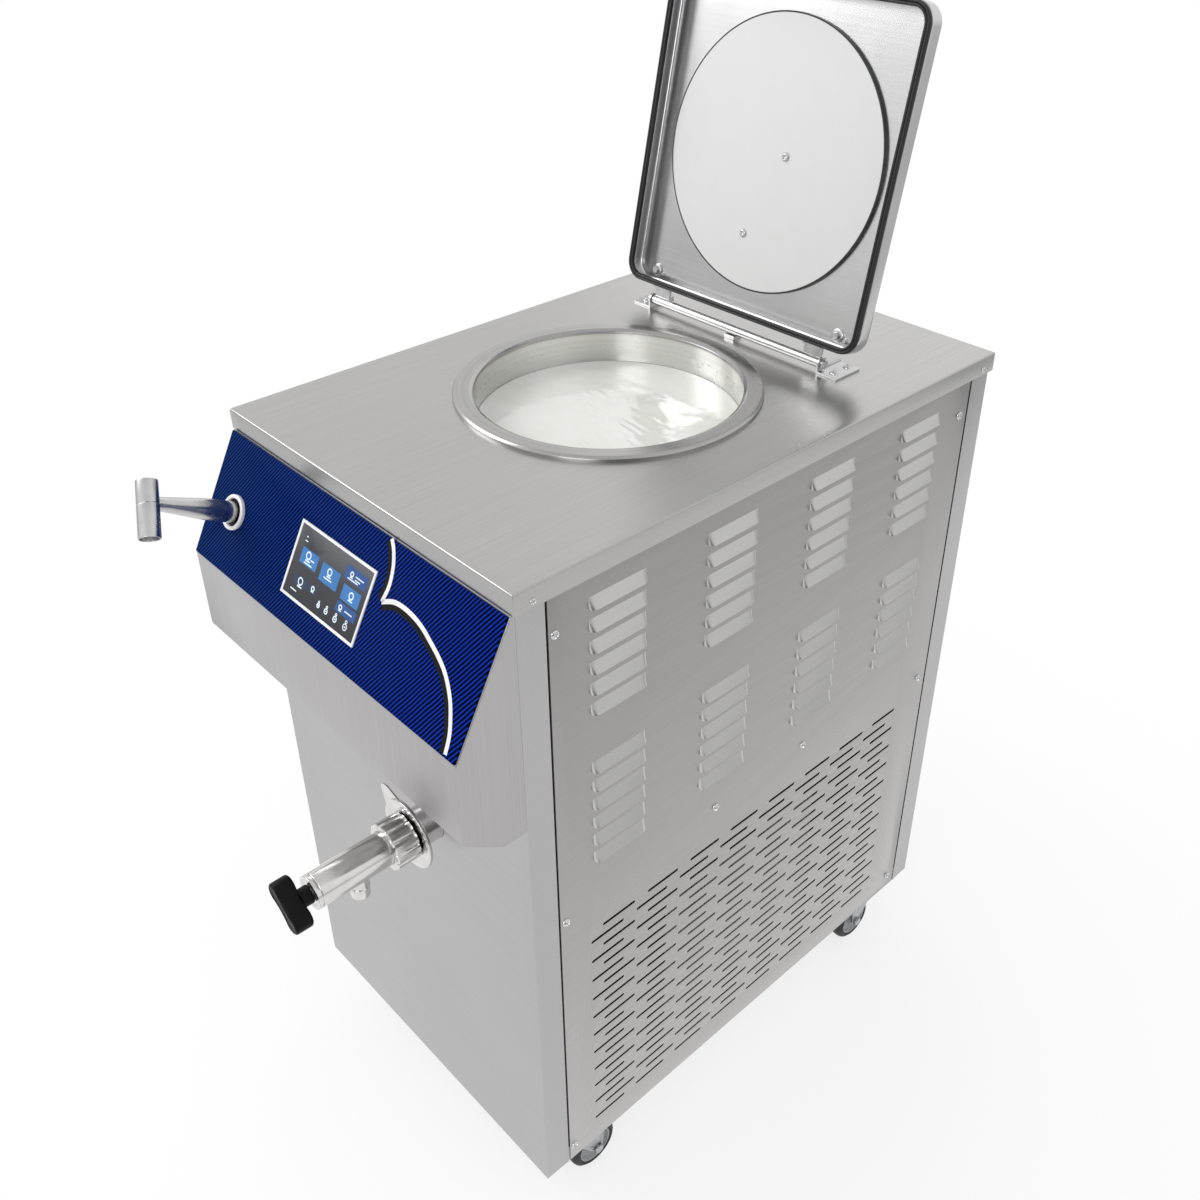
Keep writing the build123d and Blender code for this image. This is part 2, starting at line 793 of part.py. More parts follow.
def hinge_bolts():
    """The bolts that hold the brackets to the cover."""
    bolts = []
    x = hinge_span / 2 + bracket_bolt_out
    z = top_z + bracket_plate
    front = hinge_y + bracket_bolt_setback
    for side in (-1, 1):
        for y in (front, front + bracket_bolt_pitch):
            bolts.append(rod((side * x, y, z), (side * x, y, z + screw_head_height), screw_head_radius))
    return group(bolts)


def cabinet_screws():
    """The screw heads on both side panels and on the cover's skirt."""
    front, rear = front_y + screw_front_inset, rear_y - screw_rear_inset
    middle = top_z - inner_screw_down
    panel_places = [(front, top_z - screw_top), (rear, top_z - screw_top),
                    (front, top_z - screw_middle_front), (rear, top_z - screw_middle_rear),
                    (front_y + inner_screw_front, middle), (rear_y - inner_screw_rear, middle),
                    (front, base_z + screw_foot), (rear, base_z + screw_foot)]
    skirt_places = [(front_y + skirt_screw_inset, top_z - skirt_screw_down),
                    (rear_y - skirt_screw_inset, top_z - skirt_screw_down)]
    heads = []
    for side in (-1, 1):
        for places, face, radius in ((panel_places, body_half, screw_head_radius),
                                     (skirt_places, cabinet_width / 2, skirt_screw_radius)):
            for y, z in places:
                heads.append(rod((side * face, y, z), (side * (face + radius / 2), y, z), radius))
    return group(heads)


axle_z = wheel_radius
crown_z = axle_z + wheel_radius + fork_crown_gap
plate_z = base_z - caster_plate_thickness


def caster_places():
    """Swivel axes of the four casters, with the side each wheel trails to."""
    x = cabinet_width / 2 - caster_inset_x
    front, rear = front_y + caster_inset_y, rear_y - caster_inset_y
    return {"front_left": (-x, front, 1), "front_right": (x, front, 1),
            "rear_left": (-x, rear, -1), "rear_right": (x, rear, -1)}


def caster_plates():
    """The four fixed plates with their kingpins."""
    plates = []
    half = caster_plate_size / 2
    for x, y, trail in caster_places().values():
        plate = block(x - half, x + half, y - half, y + half, plate_z, base_z)
        plates.append(plate + rod((x, y, crown_z), (x, y, plate_z), kingpin_radius))
    return group(plates)


def caster_fork(x, y, trail):
    """The swivelling fork: its crown, its bearing cup and two legs down to the axle."""
    wheel_y = y + trail * caster_trail
    half = wheel_width / 2 + fork_side_gap
    outer = half + fork_leg
    back, front = sorted((y - trail * swivel_cup_radius, wheel_y + trail * fork_leg_width / 2))
    fork = block(x - outer, x + outer, back, front, crown_z, crown_z + fork_crown)
    fork += rod((x, y, crown_z), (x, y, plate_z - running_gap), swivel_cup_radius)
    for side in (-1, 1):
        xs = sorted((x + side * half, x + side * outer))
        outline = [(xs[0], back, crown_z + fork_crown), (xs[0], front, crown_z + fork_crown),
                   (xs[0], wheel_y + fork_eye, axle_z), (xs[0], wheel_y, axle_z - fork_eye),
                   (xs[0], wheel_y - fork_eye, axle_z)]
        fork += extrude(make_face(Polyline(*outline, close=True)), fork_leg, dir=(1, 0, 0))
        fork -= rod((xs[0] - overcut, wheel_y, axle_z), (xs[1] + overcut, wheel_y, axle_z), axle_radius)
    return fork - rod((x, y, crown_z - overcut), (x, y, plate_z), kingpin_radius + bearing_gap)


def caster_axle(x, y, trail):
    """The axle bolt with its head and nut."""
    wheel_y = y + trail * caster_trail
    reach = wheel_width / 2 + fork_side_gap + fork_leg
    bolt = rod((x - reach, wheel_y, axle_z), (x + reach, wheel_y, axle_z), axle_radius)
    for side in (-1, 1):
        start = (x + side * reach, wheel_y, axle_z)
        end = (x + side * (reach + axle_nut_length), wheel_y, axle_z)
        bolt += hex_bar(start, end, axle_nut_radius)
    return bolt


def caster_rim(x, y, trail):
    """The wheel's core, running on the axle."""
    wheel_y = y + trail * caster_trail
    half = wheel_width / 2
    return tube((x - half, wheel_y, axle_z), (x + half, wheel_y, axle_z), wheel_radius - tyre_thickness,
                axle_radius + bearing_gap)


def caster_tyre(x, y, trail):
    """The rubber tyre on the core."""
    wheel_y = y + trail * caster_trail
    half = wheel_width / 2
    return tube((x - half, wheel_y, axle_z), (x + half, wheel_y, axle_z), wheel_radius,
                wheel_radius - tyre_thickness)


shaft_top_z = bowl_floor_z - bowl_floor_drop + stirrer_floor_gap + stirrer_blade_height


def gear_motor():
    """The stirrer's geared motor, with the neck that carries the shaft through the bowl floor."""
    flange_z = jacket_floor_z - gear_flange
    motor = rod((0, bowl_y, jacket_floor_z), (0, bowl_y, flange_z), gear_flange_radius)
    motor += rod((0, bowl_y, flange_z), (0, bowl_y, flange_z - gear_housing_length), gear_housing_radius)
    neck_top = bowl_floor_z - bowl_floor_drop
    motor += rod((0, bowl_y, jacket_floor_z), (0, bowl_y, neck_top), gear_neck_radius)
    socket_floor = flange_z - gear_socket_depth
    return motor - rod((0, bowl_y, socket_floor), (0, bowl_y, neck_top + overcut),
                       stirrer_shaft_radius + bearing_gap)


def stirrer_shaft():
    """The shaft from the geared motor up into the bowl."""
    bottom = jacket_floor_z - gear_flange - gear_socket_depth + running_gap
    return rod((0, bowl_y, bottom), (0, bowl_y, shaft_top_z), stirrer_shaft_radius)


def stirrer():
    """The hub with two low blades that sweep the bowl's floor."""
    z0 = bowl_floor_z - bowl_floor_drop + stirrer_floor_gap
    z1 = z0 + stirrer_blade_height
    hub = rod((0, bowl_y, z0), (0, bowl_y, z1), stirrer_hub_radius)
    for side in (-1, 1):
        blade = Box(stirrer_blade_length, stirrer_blade_thickness, stirrer_blade_height)
        lifted = Pos(side * stirrer_blade_length / 2, bowl_y, (z0 + z1) / 2 + stirrer_floor_gap)
        hub += lifted * Rot(side * stirrer_blade_pitch, 0, 0) * blade
    return hub - rod((0, bowl_y, z0 - overcut), (0, bowl_y, z1 + overcut), stirrer_shaft_radius)


def compressor():
    """The hermetic compressor pot on its foot plate."""
    y = rear_y - compressor_setback
    z0 = tray_floor_z + compressor_foot
    z1 = tray_floor_z + compressor_height
    half = compressor_foot_half
    foot = block(compressor_x - half, compressor_x + half, y - half, y + half, tray_floor_z, z0)
    outline = [(0, z0), (compressor_radius, z0), (compressor_radius, z1 - compressor_dome),
               (compressor_radius - compressor_dome, z1), (0, z1)]
    return foot + revolved(outline, compressor_x, y)


condenser_x = inner_x - tray_sheet - post_width - condenser_thickness / 2
fan_y = centre_y
fan_z = tray_floor_z + condenser_height / 2
fan_x = condenser_x - condenser_thickness / 2 - fan_depth


def condenser():
    """The finned coil behind the slots."""
    half = condenser_thickness / 2
    return block(condenser_x - half, condenser_x + half, fan_y - condenser_length / 2,
                 fan_y + condenser_length / 2, tray_floor_z, tray_floor_z + condenser_height)


def fan_motor():
    """The fan motor on its stand."""
    x1 = fan_x - fan_depth
    x0 = x1 - fan_motor_length
    motor = rod((x0, fan_y, fan_z), (x1, fan_y, fan_z), fan_motor_radius)
    motor += rod((x1, fan_y, fan_z), (fan_x + fan_depth / 2, fan_y, fan_z), fan_shaft_radius)
    middle = (x0 + x1) / 2
    stand = block(middle - fan_stand_depth / 2, middle + fan_stand_depth / 2,
                  fan_y - fan_stand_width / 2, fan_y + fan_stand_width / 2, tray_floor_z, fan_z)
    return motor + stand


def fan_blades():
    """The fan's hub and its pitched blades."""
    half = fan_depth / 2
    hub = rod((fan_x - half, fan_y, fan_z), (fan_x + half, fan_y, fan_z), fan_hub_radius)
    for index in range(fan_blade_count):
        blade = Box(fan_blade_sheet, 2 * fan_depth, fan_radius - fan_hub_radius + fan_blade_root)
        middle = (fan_radius + fan_hub_radius - fan_blade_root) / 2
        arm = Pos(0, 0, middle) * Rot(0, 0, fan_blade_pitch) * blade
        hub += Pos(fan_x, fan_y, fan_z) * Rot(index * 360 / fan_blade_count, 0, 0) * arm
    return hub - rod((fan_x - half - overcut, fan_y, fan_z), (fan_x + half + overcut, fan_y, fan_z),
                     fan_shaft_radius + bearing_gap)


def electrical_box():
    """The box of switchgear behind the control head."""
    top = under_cover_z - rail_height - running_gap
    return block(-electrical_width / 2, electrical_width / 2,
                 inner_front_y, inner_front_y + electrical_depth, top - electrical_height, top)


def fitting(x, height, reach, radius, bore):
    """A rear fitting: a spigot through the sheet with a nut each side."""
    z = base_z + height
    outer = body_rear_y
    body = rod((x, outer - sheet - fitting_tail, z), (x, outer + reach, z), radius)
    body += hex_bar((x, outer, z), (x, outer + fitting_nut_length, z), fitting_nut_radius)
    body += hex_bar((x, outer - sheet - fitting_nut_length, z), (x, outer - sheet, z), fitting_nut_radius)
    return body - rod((x, outer - sheet - fitting_tail - overcut, z), (x, outer + reach + overcut, z), bore)


def rear_hole(x, height, radius):
    """The hole in the rear sheet for a fitting."""
    z = base_z + height
    return rod((x, body_rear_y - sheet - overcut, z), (x, body_rear_y + overcut, z), radius)


def build():
    save("floor_tray", tray())
    corners = {"front_left": (-1, -1), "front_right": (1, -1), "rear_left": (-1, 1), "rear_right": (1, 1)}
    for name, (side, end) in corners.items():
        save(f"post_{name}", post(side, end))
    save("cross_rails", cross_rails())
    save("front_panel", front_panel())
    rear = wrap_panel(False) - rear_hole(gland_x, gland_height, gland_radius)
    save("rear_panel", rear - rear_hole(inlet_x, inlet_height, inlet_radius))
    save("side_panel_left", side_panel(-1, 4, False))
    save("side_panel_right", side_panel(1, 2, True))
    save("top_cover", top_cover())
    save("control_head", control_head())
    save("control_fascia", control_fascia())
    save("screen_bezel", screen_bezel())
    save("touch_screen", touch_screen())
    save("spray_collar", spray_collar())
    save("spray_guide", spray_guide())
    save("spray_handle", spray_handle())
    save("spray_head", spray_head())
    save("bowl", bowl())
    save("bowl_ring", bowl_ring())
    save("bowl_jacket", jacket())
    save("outlet_pipe", outlet_pipe())
    save("union_nut", union_nut())
    save("valve_body", valve_body())
    save("valve_plunger", valve_plunger())
    save("valve_spindle", valve_spindle())
    save("valve_knob", valve_knob())
    save("lid_shell", lid_shell())
    save("lid_gasket", lid_gasket())
    save("lid_liner", lid_liner())
    save("liner_screws", liner_screws())
    save("lid_hinge_leaf", lid_hinge_leaf())
    save("hinge_brackets", hinge_brackets())
    save("hinge_rod", hinge_rod())
    save("hinge_bolts", hinge_bolts())
    save("cabinet_screws", cabinet_screws())
    save("caster_plates", caster_plates())
    for name, place in caster_places().items():
        save(f"caster_fork_{name}", group([caster_fork(*place), caster_axle(*place)]))
        save(f"caster_rim_{name}", caster_rim(*place))
        save(f"caster_tyre_{name}", caster_tyre(*place))
    save("gear_motor", gear_motor())
    save("stirrer_shaft", stirrer_shaft())
    save("stirrer", stirrer())
    save("compressor", compressor())
    save("condenser", condenser())
    save("fan_motor", fan_motor())
    save("fan_blades", fan_blades())
    save("cable_gland", fitting(gland_x, gland_height, gland_reach, gland_radius, gland_bore))
    save("water_inlet", fitting(inlet_x, inlet_height, inlet_reach, inlet_radius, inlet_bore))
    save("electrical_box", electrical_box())


build()
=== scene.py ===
import json
import math

import bmesh
import bpy
from mathutils import Matrix, Vector

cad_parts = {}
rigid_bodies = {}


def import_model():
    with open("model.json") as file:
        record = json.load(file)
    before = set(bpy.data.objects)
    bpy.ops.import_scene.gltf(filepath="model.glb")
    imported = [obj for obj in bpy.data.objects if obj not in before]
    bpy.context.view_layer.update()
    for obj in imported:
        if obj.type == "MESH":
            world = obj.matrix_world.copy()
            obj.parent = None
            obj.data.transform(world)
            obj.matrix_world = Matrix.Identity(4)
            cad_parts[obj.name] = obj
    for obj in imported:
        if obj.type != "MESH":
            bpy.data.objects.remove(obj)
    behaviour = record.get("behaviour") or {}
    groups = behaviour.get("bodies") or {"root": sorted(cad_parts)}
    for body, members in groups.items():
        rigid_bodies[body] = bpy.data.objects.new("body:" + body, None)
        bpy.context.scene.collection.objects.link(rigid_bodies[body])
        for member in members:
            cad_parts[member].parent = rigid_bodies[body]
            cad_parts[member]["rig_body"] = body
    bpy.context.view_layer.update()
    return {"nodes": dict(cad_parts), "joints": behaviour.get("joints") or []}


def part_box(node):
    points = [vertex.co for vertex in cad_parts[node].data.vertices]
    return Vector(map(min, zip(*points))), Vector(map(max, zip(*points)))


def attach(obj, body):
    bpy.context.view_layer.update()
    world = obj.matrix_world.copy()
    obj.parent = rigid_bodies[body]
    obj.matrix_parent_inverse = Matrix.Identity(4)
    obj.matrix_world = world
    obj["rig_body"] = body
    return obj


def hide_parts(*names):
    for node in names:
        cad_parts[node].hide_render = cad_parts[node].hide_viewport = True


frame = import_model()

MM = 0.001
X, Y, Z = Vector((1, 0, 0)), Vector((0, 1, 0)), Vector((0, 0, 1))
joints = {joint["name"]: joint for joint in frame["joints"]}
nodes = frame["nodes"]

# Places read from the frame
cover_low, cover_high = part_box("top_cover")
ring_low, ring_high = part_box("bowl_ring")
front_low, front_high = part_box("front_panel")
fascia_low, fascia_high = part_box("control_fascia")
bezel_low, bezel_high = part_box("screen_bezel")
top_z = cover_high.z
cover_skirt = cover_high.z - cover_low.z
bowl_centre = (ring_low + ring_high) / 2
bowl_radius = (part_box("bowl")[1].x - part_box("bowl")[0].x) / 2 - 2 * MM
body_half = front_high.x
body_front_y = front_low.y
sheet = 1.5 * MM
valve_axis = Vector(joints["knob_turn"]["pos_m"])
spray_normal = Vector(joints["spray_pull"]["axis"]).normalized()
spray_base = Vector(joints["spray_turn"]["pos_m"])

# The lid's hinge: pieces of the lid are made shut and swung up with this turn
hinge = Vector(joints["lid_hinge"]["pos_m"])
lid_angle = math.radians(joints["lid_hinge"]["range_deg"][1])
lid_turn = Matrix.Translation(hinge) @ Matrix.Rotation(-lid_angle, 4, "X") @ Matrix.Translation(-hinge)


def shut_box(node):
    """Lowest and highest corners of a lid node as it lies when shut."""
    back = lid_turn.inverted()
    points = [back @ vertex.co for vertex in nodes[node].data.vertices]
    low = Vector(min(point[axis] for point in points) for axis in range(3))
    high = Vector(max(point[axis] for point in points) for axis in range(3))
    return low, high


# Materials

def material(name, colour, roughness, metallic=0.0, **sockets):
    """A material with one shader, its plain values set on the shader itself."""
    made = bpy.data.materials.new(name)
    made.use_nodes = True
    shader = made.node_tree.nodes["Principled BSDF"]
    shader.inputs["Base Color"].default_value = (*colour, 1)
    shader.inputs["Roughness"].default_value = roughness
    shader.inputs["Metallic"].default_value = metallic
    for socket, value in sockets.items():
        shader.inputs[socket.replace("_", " ")].default_value = value
    return made, shader


def node(made, kind, **inputs):
    """A new node with some of its inputs set."""
    added = made.node_tree.nodes.new("ShaderNode" + kind)
    for name, value in inputs.items():
        added.inputs[name.replace("_", " ")].default_value = value
    return added


def link(made, source, target):
    made.node_tree.links.new(source, target)


def texture(made, kind, stretch, **inputs):
    """A texture read in the piece's own metres, with its own stretch along X, Y and Z."""
    place = node(made, "TexCoord")
    mapping = node(made, "Mapping", Scale=stretch)
    link(made, place.outputs["Object"], mapping.inputs["Vector"])
    added = node(made, kind, **inputs)
    link(made, mapping.outputs["Vector"], added.inputs["Vector"])
    return added


def shades(made, source, stops):
    """Colours along a value, as (place, colour) stops."""
    ramp = node(made, "ValToRGB")
    while len(ramp.color_ramp.elements) < len(stops):
        ramp.color_ramp.elements.new(0.5)
    for element, (place, colour) in zip(ramp.color_ramp.elements, stops):
        element.position = place
        element.color = (*colour, 1)
    link(made, source, ramp.inputs["Fac"])
    return ramp.outputs["Color"]


def spread(made, source, low, high, start=0.3, end=0.7):
    """A value moved from one range to another."""
    mapped = node(made, "MapRange")
    for socket, value in (("From Min", start), ("From Max", end), ("To Min", low), ("To Max", high)):
        mapped.inputs[socket].default_value = value
    link(made, source, mapped.inputs["Value"])
    return mapped.outputs["Result"]


def times(made, one, two):
    """Two colours multiplied."""
    mix = node(made, "Mix")
    mix.data_type = "RGBA"
    mix.blend_type = "MULTIPLY"
    mix.inputs["Factor"].default_value = 1.0
    link(made, one, mix.inputs["A"])
    link(made, two, mix.inputs["B"])
    return mix.outputs["Result"]


def mixed(made, one, two, share):
    """One colour passing into another."""
    mix = node(made, "Mix")
    mix.data_type = "RGBA"
    link(made, share, mix.inputs["Factor"])
    link(made, one, mix.inputs["A"])
    link(made, two, mix.inputs["B"])
    return mix.outputs["Result"]


def bump(made, shader, height, distance, strength=1.0):
    """Raises the surface by a texture, in metres."""
    raised = node(made, "Bump", Strength=strength, Distance=distance)
    link(made, height, raised.inputs["Height"])
    link(made, raised.outputs["Normal"], shader.inputs["Normal"])


def tinted(colour, factor):
    return tuple(min(1.0, channel * factor) for channel in colour)


def brushed(name, colour, along, roughness=0.3, streak=0.05, cloud=0.05, top_painted_shade=1.0):
    """Brushed sheet steel, its grain along one axis, with faint clouds and a painted shade that darkens it towards the
    top.
    """
    made, shader = material(name, colour, roughness, 1.0)
    stretch = tuple(5.0 if axis == along else 700.0 for axis in "XYZ")
    grain = texture(made, "TexNoise", stretch, Scale=1.0, Detail=3.0)
    haze = texture(made, "TexNoise", (5.0, 5.0, 5.0), Scale=1.0, Detail=4.0)
    grain_shade = shades(made, grain.outputs["Fac"], [(0.3, tinted(colour, 1 - streak)),
                                                      (0.7, tinted(colour, 1 + streak))])
    haze_shade = shades(made, haze.outputs["Fac"], [(0.3, (1 - cloud,) * 3), (0.7, (1.0, 1.0, 1.0))])
    both = times(made, grain_shade, haze_shade)
    # Painted shade: the colour falls off towards the top of the cabinet, standing in for the dimmer reflection there.
    if top_painted_shade < 1:
        place = node(made, "TexCoord")
        split = node(made, "SeparateXYZ")
        link(made, place.outputs["Object"], split.inputs["Vector"])
        height = spread(made, split.outputs["Z"], 0.0, 1.0, front_low.z, top_z)
        both = times(made, both, shades(made, height, [(0.0, (1.0,) * 3), (1.0, (top_painted_shade,) * 3)]))
    link(made, both, shader.inputs["Base Color"])
    link(made, spread(made, haze.outputs["Fac"], roughness - 0.05, roughness + 0.07), shader.inputs["Roughness"])
    bump(made, shader, grain.outputs["Fac"], 0.00003, 0.35)
    return made


def turned(name, colour, centre, roughness=0.25):
    """Steel polished in circles about a vertical line."""
    made, shader = material(name, colour, roughness, 1.0)
    place = node(made, "TexCoord")
    moved = node(made, "Mapping", Location=(-centre.x, -centre.y, 0.0))
    link(made, place.outputs["Object"], moved.inputs["Vector"])
    flat = node(made, "VectorMath")
    flat.operation = "MULTIPLY"
    flat.inputs[1].default_value = (1.0, 1.0, 0.0)
    link(made, moved.outputs["Vector"], flat.inputs[0])
    radius = node(made, "VectorMath")
    radius.operation = "LENGTH"
    link(made, flat.outputs["Vector"], radius.inputs[0])
    split = node(made, "SeparateXYZ")
    link(made, moved.outputs["Vector"], split.inputs["Vector"])
    joined = node(made, "CombineXYZ")
    link(made, radius.outputs["Value"], joined.inputs["X"])
    link(made, split.outputs["Z"], joined.inputs["Z"])
    rings = node(made, "TexNoise", Scale=600.0, Detail=3.0)
    link(made, joined.outputs["Vector"], rings.inputs["Vector"])
    haze = texture(made, "TexNoise", (9.0, 9.0, 9.0), Scale=1.0, Detail=3.0)
    ring_shade = shades(made, rings.outputs["Fac"], [(0.3, tinted(colour, 0.9)), (0.7, tinted(colour, 1.06))])
    haze_shade = shades(made, haze.outputs["Fac"], [(0.3, (0.93, 0.93, 0.93)), (0.7, (1.0, 1.0, 1.0))])
    link(made, times(made, ring_shade, haze_shade), shader.inputs["Base Color"])
    link(made, spread(made, haze.outputs["Fac"], roughness - 0.05, roughness + 0.08), shader.inputs["Roughness"])
    bump(made, shader, rings.outputs["Fac"], 0.00003, 0.4)
    return made


def polished(name, colour, roughness=0.12):
    """Bright steel with faint wiping marks."""
    made, shader = material(name, colour, roughness, 1.0)
    marks = texture(made, "TexNoise", (60.0, 60.0, 60.0), Scale=1.0, Detail=4.0)
    link(made, shades(made, marks.outputs["Fac"], [(0.3, tinted(colour, 0.93)), (0.7, tinted(colour, 1.05))]),
         shader.inputs["Base Color"])
    link(made, spread(made, marks.outputs["Fac"], roughness, roughness + 0.09), shader.inputs["Roughness"])
    bump(made, shader, marks.outputs["Fac"], 0.00002, 0.2)
    return made


def moulded(name, colour, roughness, grain=0.0001, cloud=0.09, **sockets):
    """Moulded plastic, rubber or paint with a fine surface grain."""
    made, shader = material(name, colour, roughness, 0.0, **sockets)
    fine = texture(made, "TexNoise", (900.0, 900.0, 900.0), Scale=1.0, Detail=2.0)
    haze = texture(made, "TexNoise", (30.0, 30.0, 30.0), Scale=1.0, Detail=3.0)
    link(made, shades(made, haze.outputs["Fac"], [(0.3, tinted(colour, 1 - cloud)), (0.7, tinted(colour, 1 + cloud))]),
         shader.inputs["Base Color"])
    link(made, spread(made, haze.outputs["Fac"], roughness - 0.05, roughness + 0.08), shader.inputs["Roughness"])
    bump(made, shader, fine.outputs["Fac"], grain, 0.3)
    return made


stripe_lean = math.radians(58)
stripe_pitch = 4.4 * MM
slope_down = Vector((0, -spray_normal.z, spray_normal.y))


def hatch_material():
    """Printed blue plate: leaning bright stripes on near black, paler and softer towards the left."""
    made, shader = material("blue_hatch", (0.0, 0.02, 0.3), 0.5, 0.0, Specular_IOR_Level=0.02)
    place = node(made, "TexCoord")
    along = node(made, "VectorMath")
    along.operation = "DOT_PRODUCT"
    up = -slope_down
    across = Vector((math.sin(stripe_lean), 0, 0)) - up * math.cos(stripe_lean)
    along.inputs[1].default_value = across * (2 * math.pi / stripe_pitch)
    link(made, place.outputs["Object"], along.inputs[0])
    wander = texture(made, "TexNoise", (26.0, 26.0, 26.0), Scale=1.0, Detail=2.0)
    shifted = node(made, "Math")
    shifted.operation = "MULTIPLY_ADD"
    link(made, wander.outputs["Fac"], shifted.inputs[0])
    shifted.inputs[1].default_value = 5.0
    link(made, along.outputs["Value"], shifted.inputs[2])
    wave = node(made, "Math")
    wave.operation = "SINE"
    link(made, shifted.outputs["Value"], wave.inputs[0])
    level = spread(made, wave.outputs["Value"], 0.0, 1.0, -1.0, 1.0)
    left = shades(made, level, [(0.4, (0.001, 0.004, 0.035)), (0.7, (0.002, 0.014, 0.09)), (0.95, (0.004, 0.05, 0.25))])
    right = shades(made, level, [(0.45, (0.0004, 0.0014, 0.014)), (0.75, (0.001, 0.01, 0.10)),
                                 (0.95, (0.003, 0.04, 0.50))])
    split = node(made, "SeparateXYZ")
    link(made, place.outputs["Object"], split.inputs["Vector"])
    side = spread(made, split.outputs["X"], 0.0, 1.0, fascia_low.x, fascia_high.x)
    link(made, mixed(made, left, right, side), shader.inputs["Base Color"])
    return made


def milk_material():
    """Milk: off white, softly translucent, with a wet surface."""
    made, shader = material("milk", (0.86, 0.86, 0.80), 0.12, 0.0, Subsurface_Weight=0.4, Coat_Weight=0.6,
                            Coat_Roughness=0.05)
    shader.inputs["Subsurface Radius"].default_value = (0.006, 0.006, 0.004)
    shader.inputs["Subsurface Scale"].default_value = 1.0
    slow = texture(made, "TexNoise", (14.0, 14.0, 14.0), Scale=1.0, Detail=3.0)
    link(made, shades(made, slow.outputs["Fac"], [(0.3, (0.76, 0.77, 0.715)), (0.7, (0.83, 0.835, 0.785))]),
         shader.inputs["Base Color"])
    ripple = texture(made, "TexNoise", (26.0, 34.0, 26.0), Scale=1.0, Detail=1.5)
    bump(made, shader, ripple.outputs["Fac"], 0.005, 0.35)
    return made


def galvanized(name, colour):
    """Zinc plated steel with its soft spangle."""
    made, shader = material(name, colour, 0.42, 1.0)
    spangle = texture(made, "TexVoronoi", (90.0, 90.0, 90.0), Scale=1.0)
    link(made, shades(made, spangle.outputs["Distance"], [(0.0, tinted(colour, 0.88)), (0.8, tinted(colour, 1.1))]),
         shader.inputs["Base Color"])
    link(made, spread(made, spangle.outputs["Distance"], 0.34, 0.5, 0.0, 1.0), shader.inputs["Roughness"])
    return made


steel = (0.55, 0.55, 0.56)
cover_steel = brushed("cover_steel", (0.47, 0.465, 0.46), "Y", 0.27)
# The side steel's last value is a painted shade: its colour darkens to 0.62 towards the top.
side_steel = brushed("side_steel", (0.53, 0.52, 0.515), "Y", 0.3, 0.03, 0.07, 0.62)
# Painted light: the hoods are pressed from the side panel's own sheet, but their steel is set brighter, for the light
# falling on their upward faces.
hood_steel_painted_light = brushed("hood_steel_painted_light", (0.58, 0.575, 0.57), "Y", 0.26, 0.03, 0.05)
front_steel = brushed("front_steel", (0.49, 0.485, 0.49), "X", 0.33, 0.03, 0.06)
head_steel = brushed("head_steel", (0.46, 0.45, 0.45), "Z", 0.3, 0.04, 0.06)
lid_steel = brushed("lid_steel", (0.66, 0.66, 0.66), "X", 0.24, 0.03, 0.14)
ring_steel = turned("ring_steel", (0.44, 0.435, 0.43), bowl_centre, 0.2)
bowl_steel = turned("bowl_steel", (0.74, 0.735, 0.72), bowl_centre, 0.22)
valve_steel = polished("valve_steel", (0.70, 0.69, 0.68))
satin_steel = polished("satin_steel", (0.58, 0.58, 0.58), 0.2)
fitting_steel = polished("fitting_steel", (0.64, 0.64, 0.64), 0.18)
zinc = galvanized("zinc", (0.45, 0.46, 0.47))
black_plastic = moulded("black_plastic", (0.004, 0.004, 0.0045), 0.42, Specular_IOR_Level=0.15)
white_plastic = moulded("white_plastic", (0.86, 0.86, 0.86), 0.35)
liner_plastic = moulded("liner_plastic", (0.74, 0.74, 0.74), 0.5, 0.00003, 0.01)
gasket_rubber = moulded("gasket_rubber", (0.010, 0.010, 0.011), 0.42)
tyre_rubber = moulded("tyre_rubber", (0.014, 0.014, 0.015), 0.55)
rim_plastic = moulded("rim_plastic", (0.30, 0.31, 0.32), 0.45)
insulation = moulded("insulation", (0.62, 0.58, 0.46), 0.9, 0.0006)
motor_paint = moulded("motor_paint", (0.22, 0.24, 0.27), 0.45)
black_paint = moulded("black_paint", (0.02, 0.02, 0.022), 0.3)
brass = polished("brass", (0.72, 0.53, 0.25), 0.25)
fins = brushed("fins", (0.62, 0.63, 0.64), "Z", 0.4)
blue_hatch = hatch_material()
milk_white = milk_material()


# Mesh tools

def circle(centre, axis, radius, steps):
    """Points round an axis."""
    across = axis.orthogonal().normalized()
    up = axis.cross(across)
    turns = [2 * math.pi * index / steps for index in range(steps)]
    return [centre + radius * (math.cos(turn) * across + math.sin(turn) * up) for turn in turns]


def skin(bm, rings, wrap=False, first=False, last=False):
    """Faces from ring to ring; wrap joins the last ring to the first, first and last close the ends."""
    loops = [[bm.verts.new(point) for point in ring] for ring in rings]
    pairs = list(zip(loops, loops[1:]))
    if wrap:
        pairs.append((loops[-1], loops[0]))
    for one, two in pairs:
        for index in range(len(one)):
            after = (index + 1) % len(one)
            bm.faces.new((one[index], one[after], two[after], two[index]))
    if first:
        bm.faces.new(loops[0][::-1])
    if last:
        bm.faces.new(loops[-1])


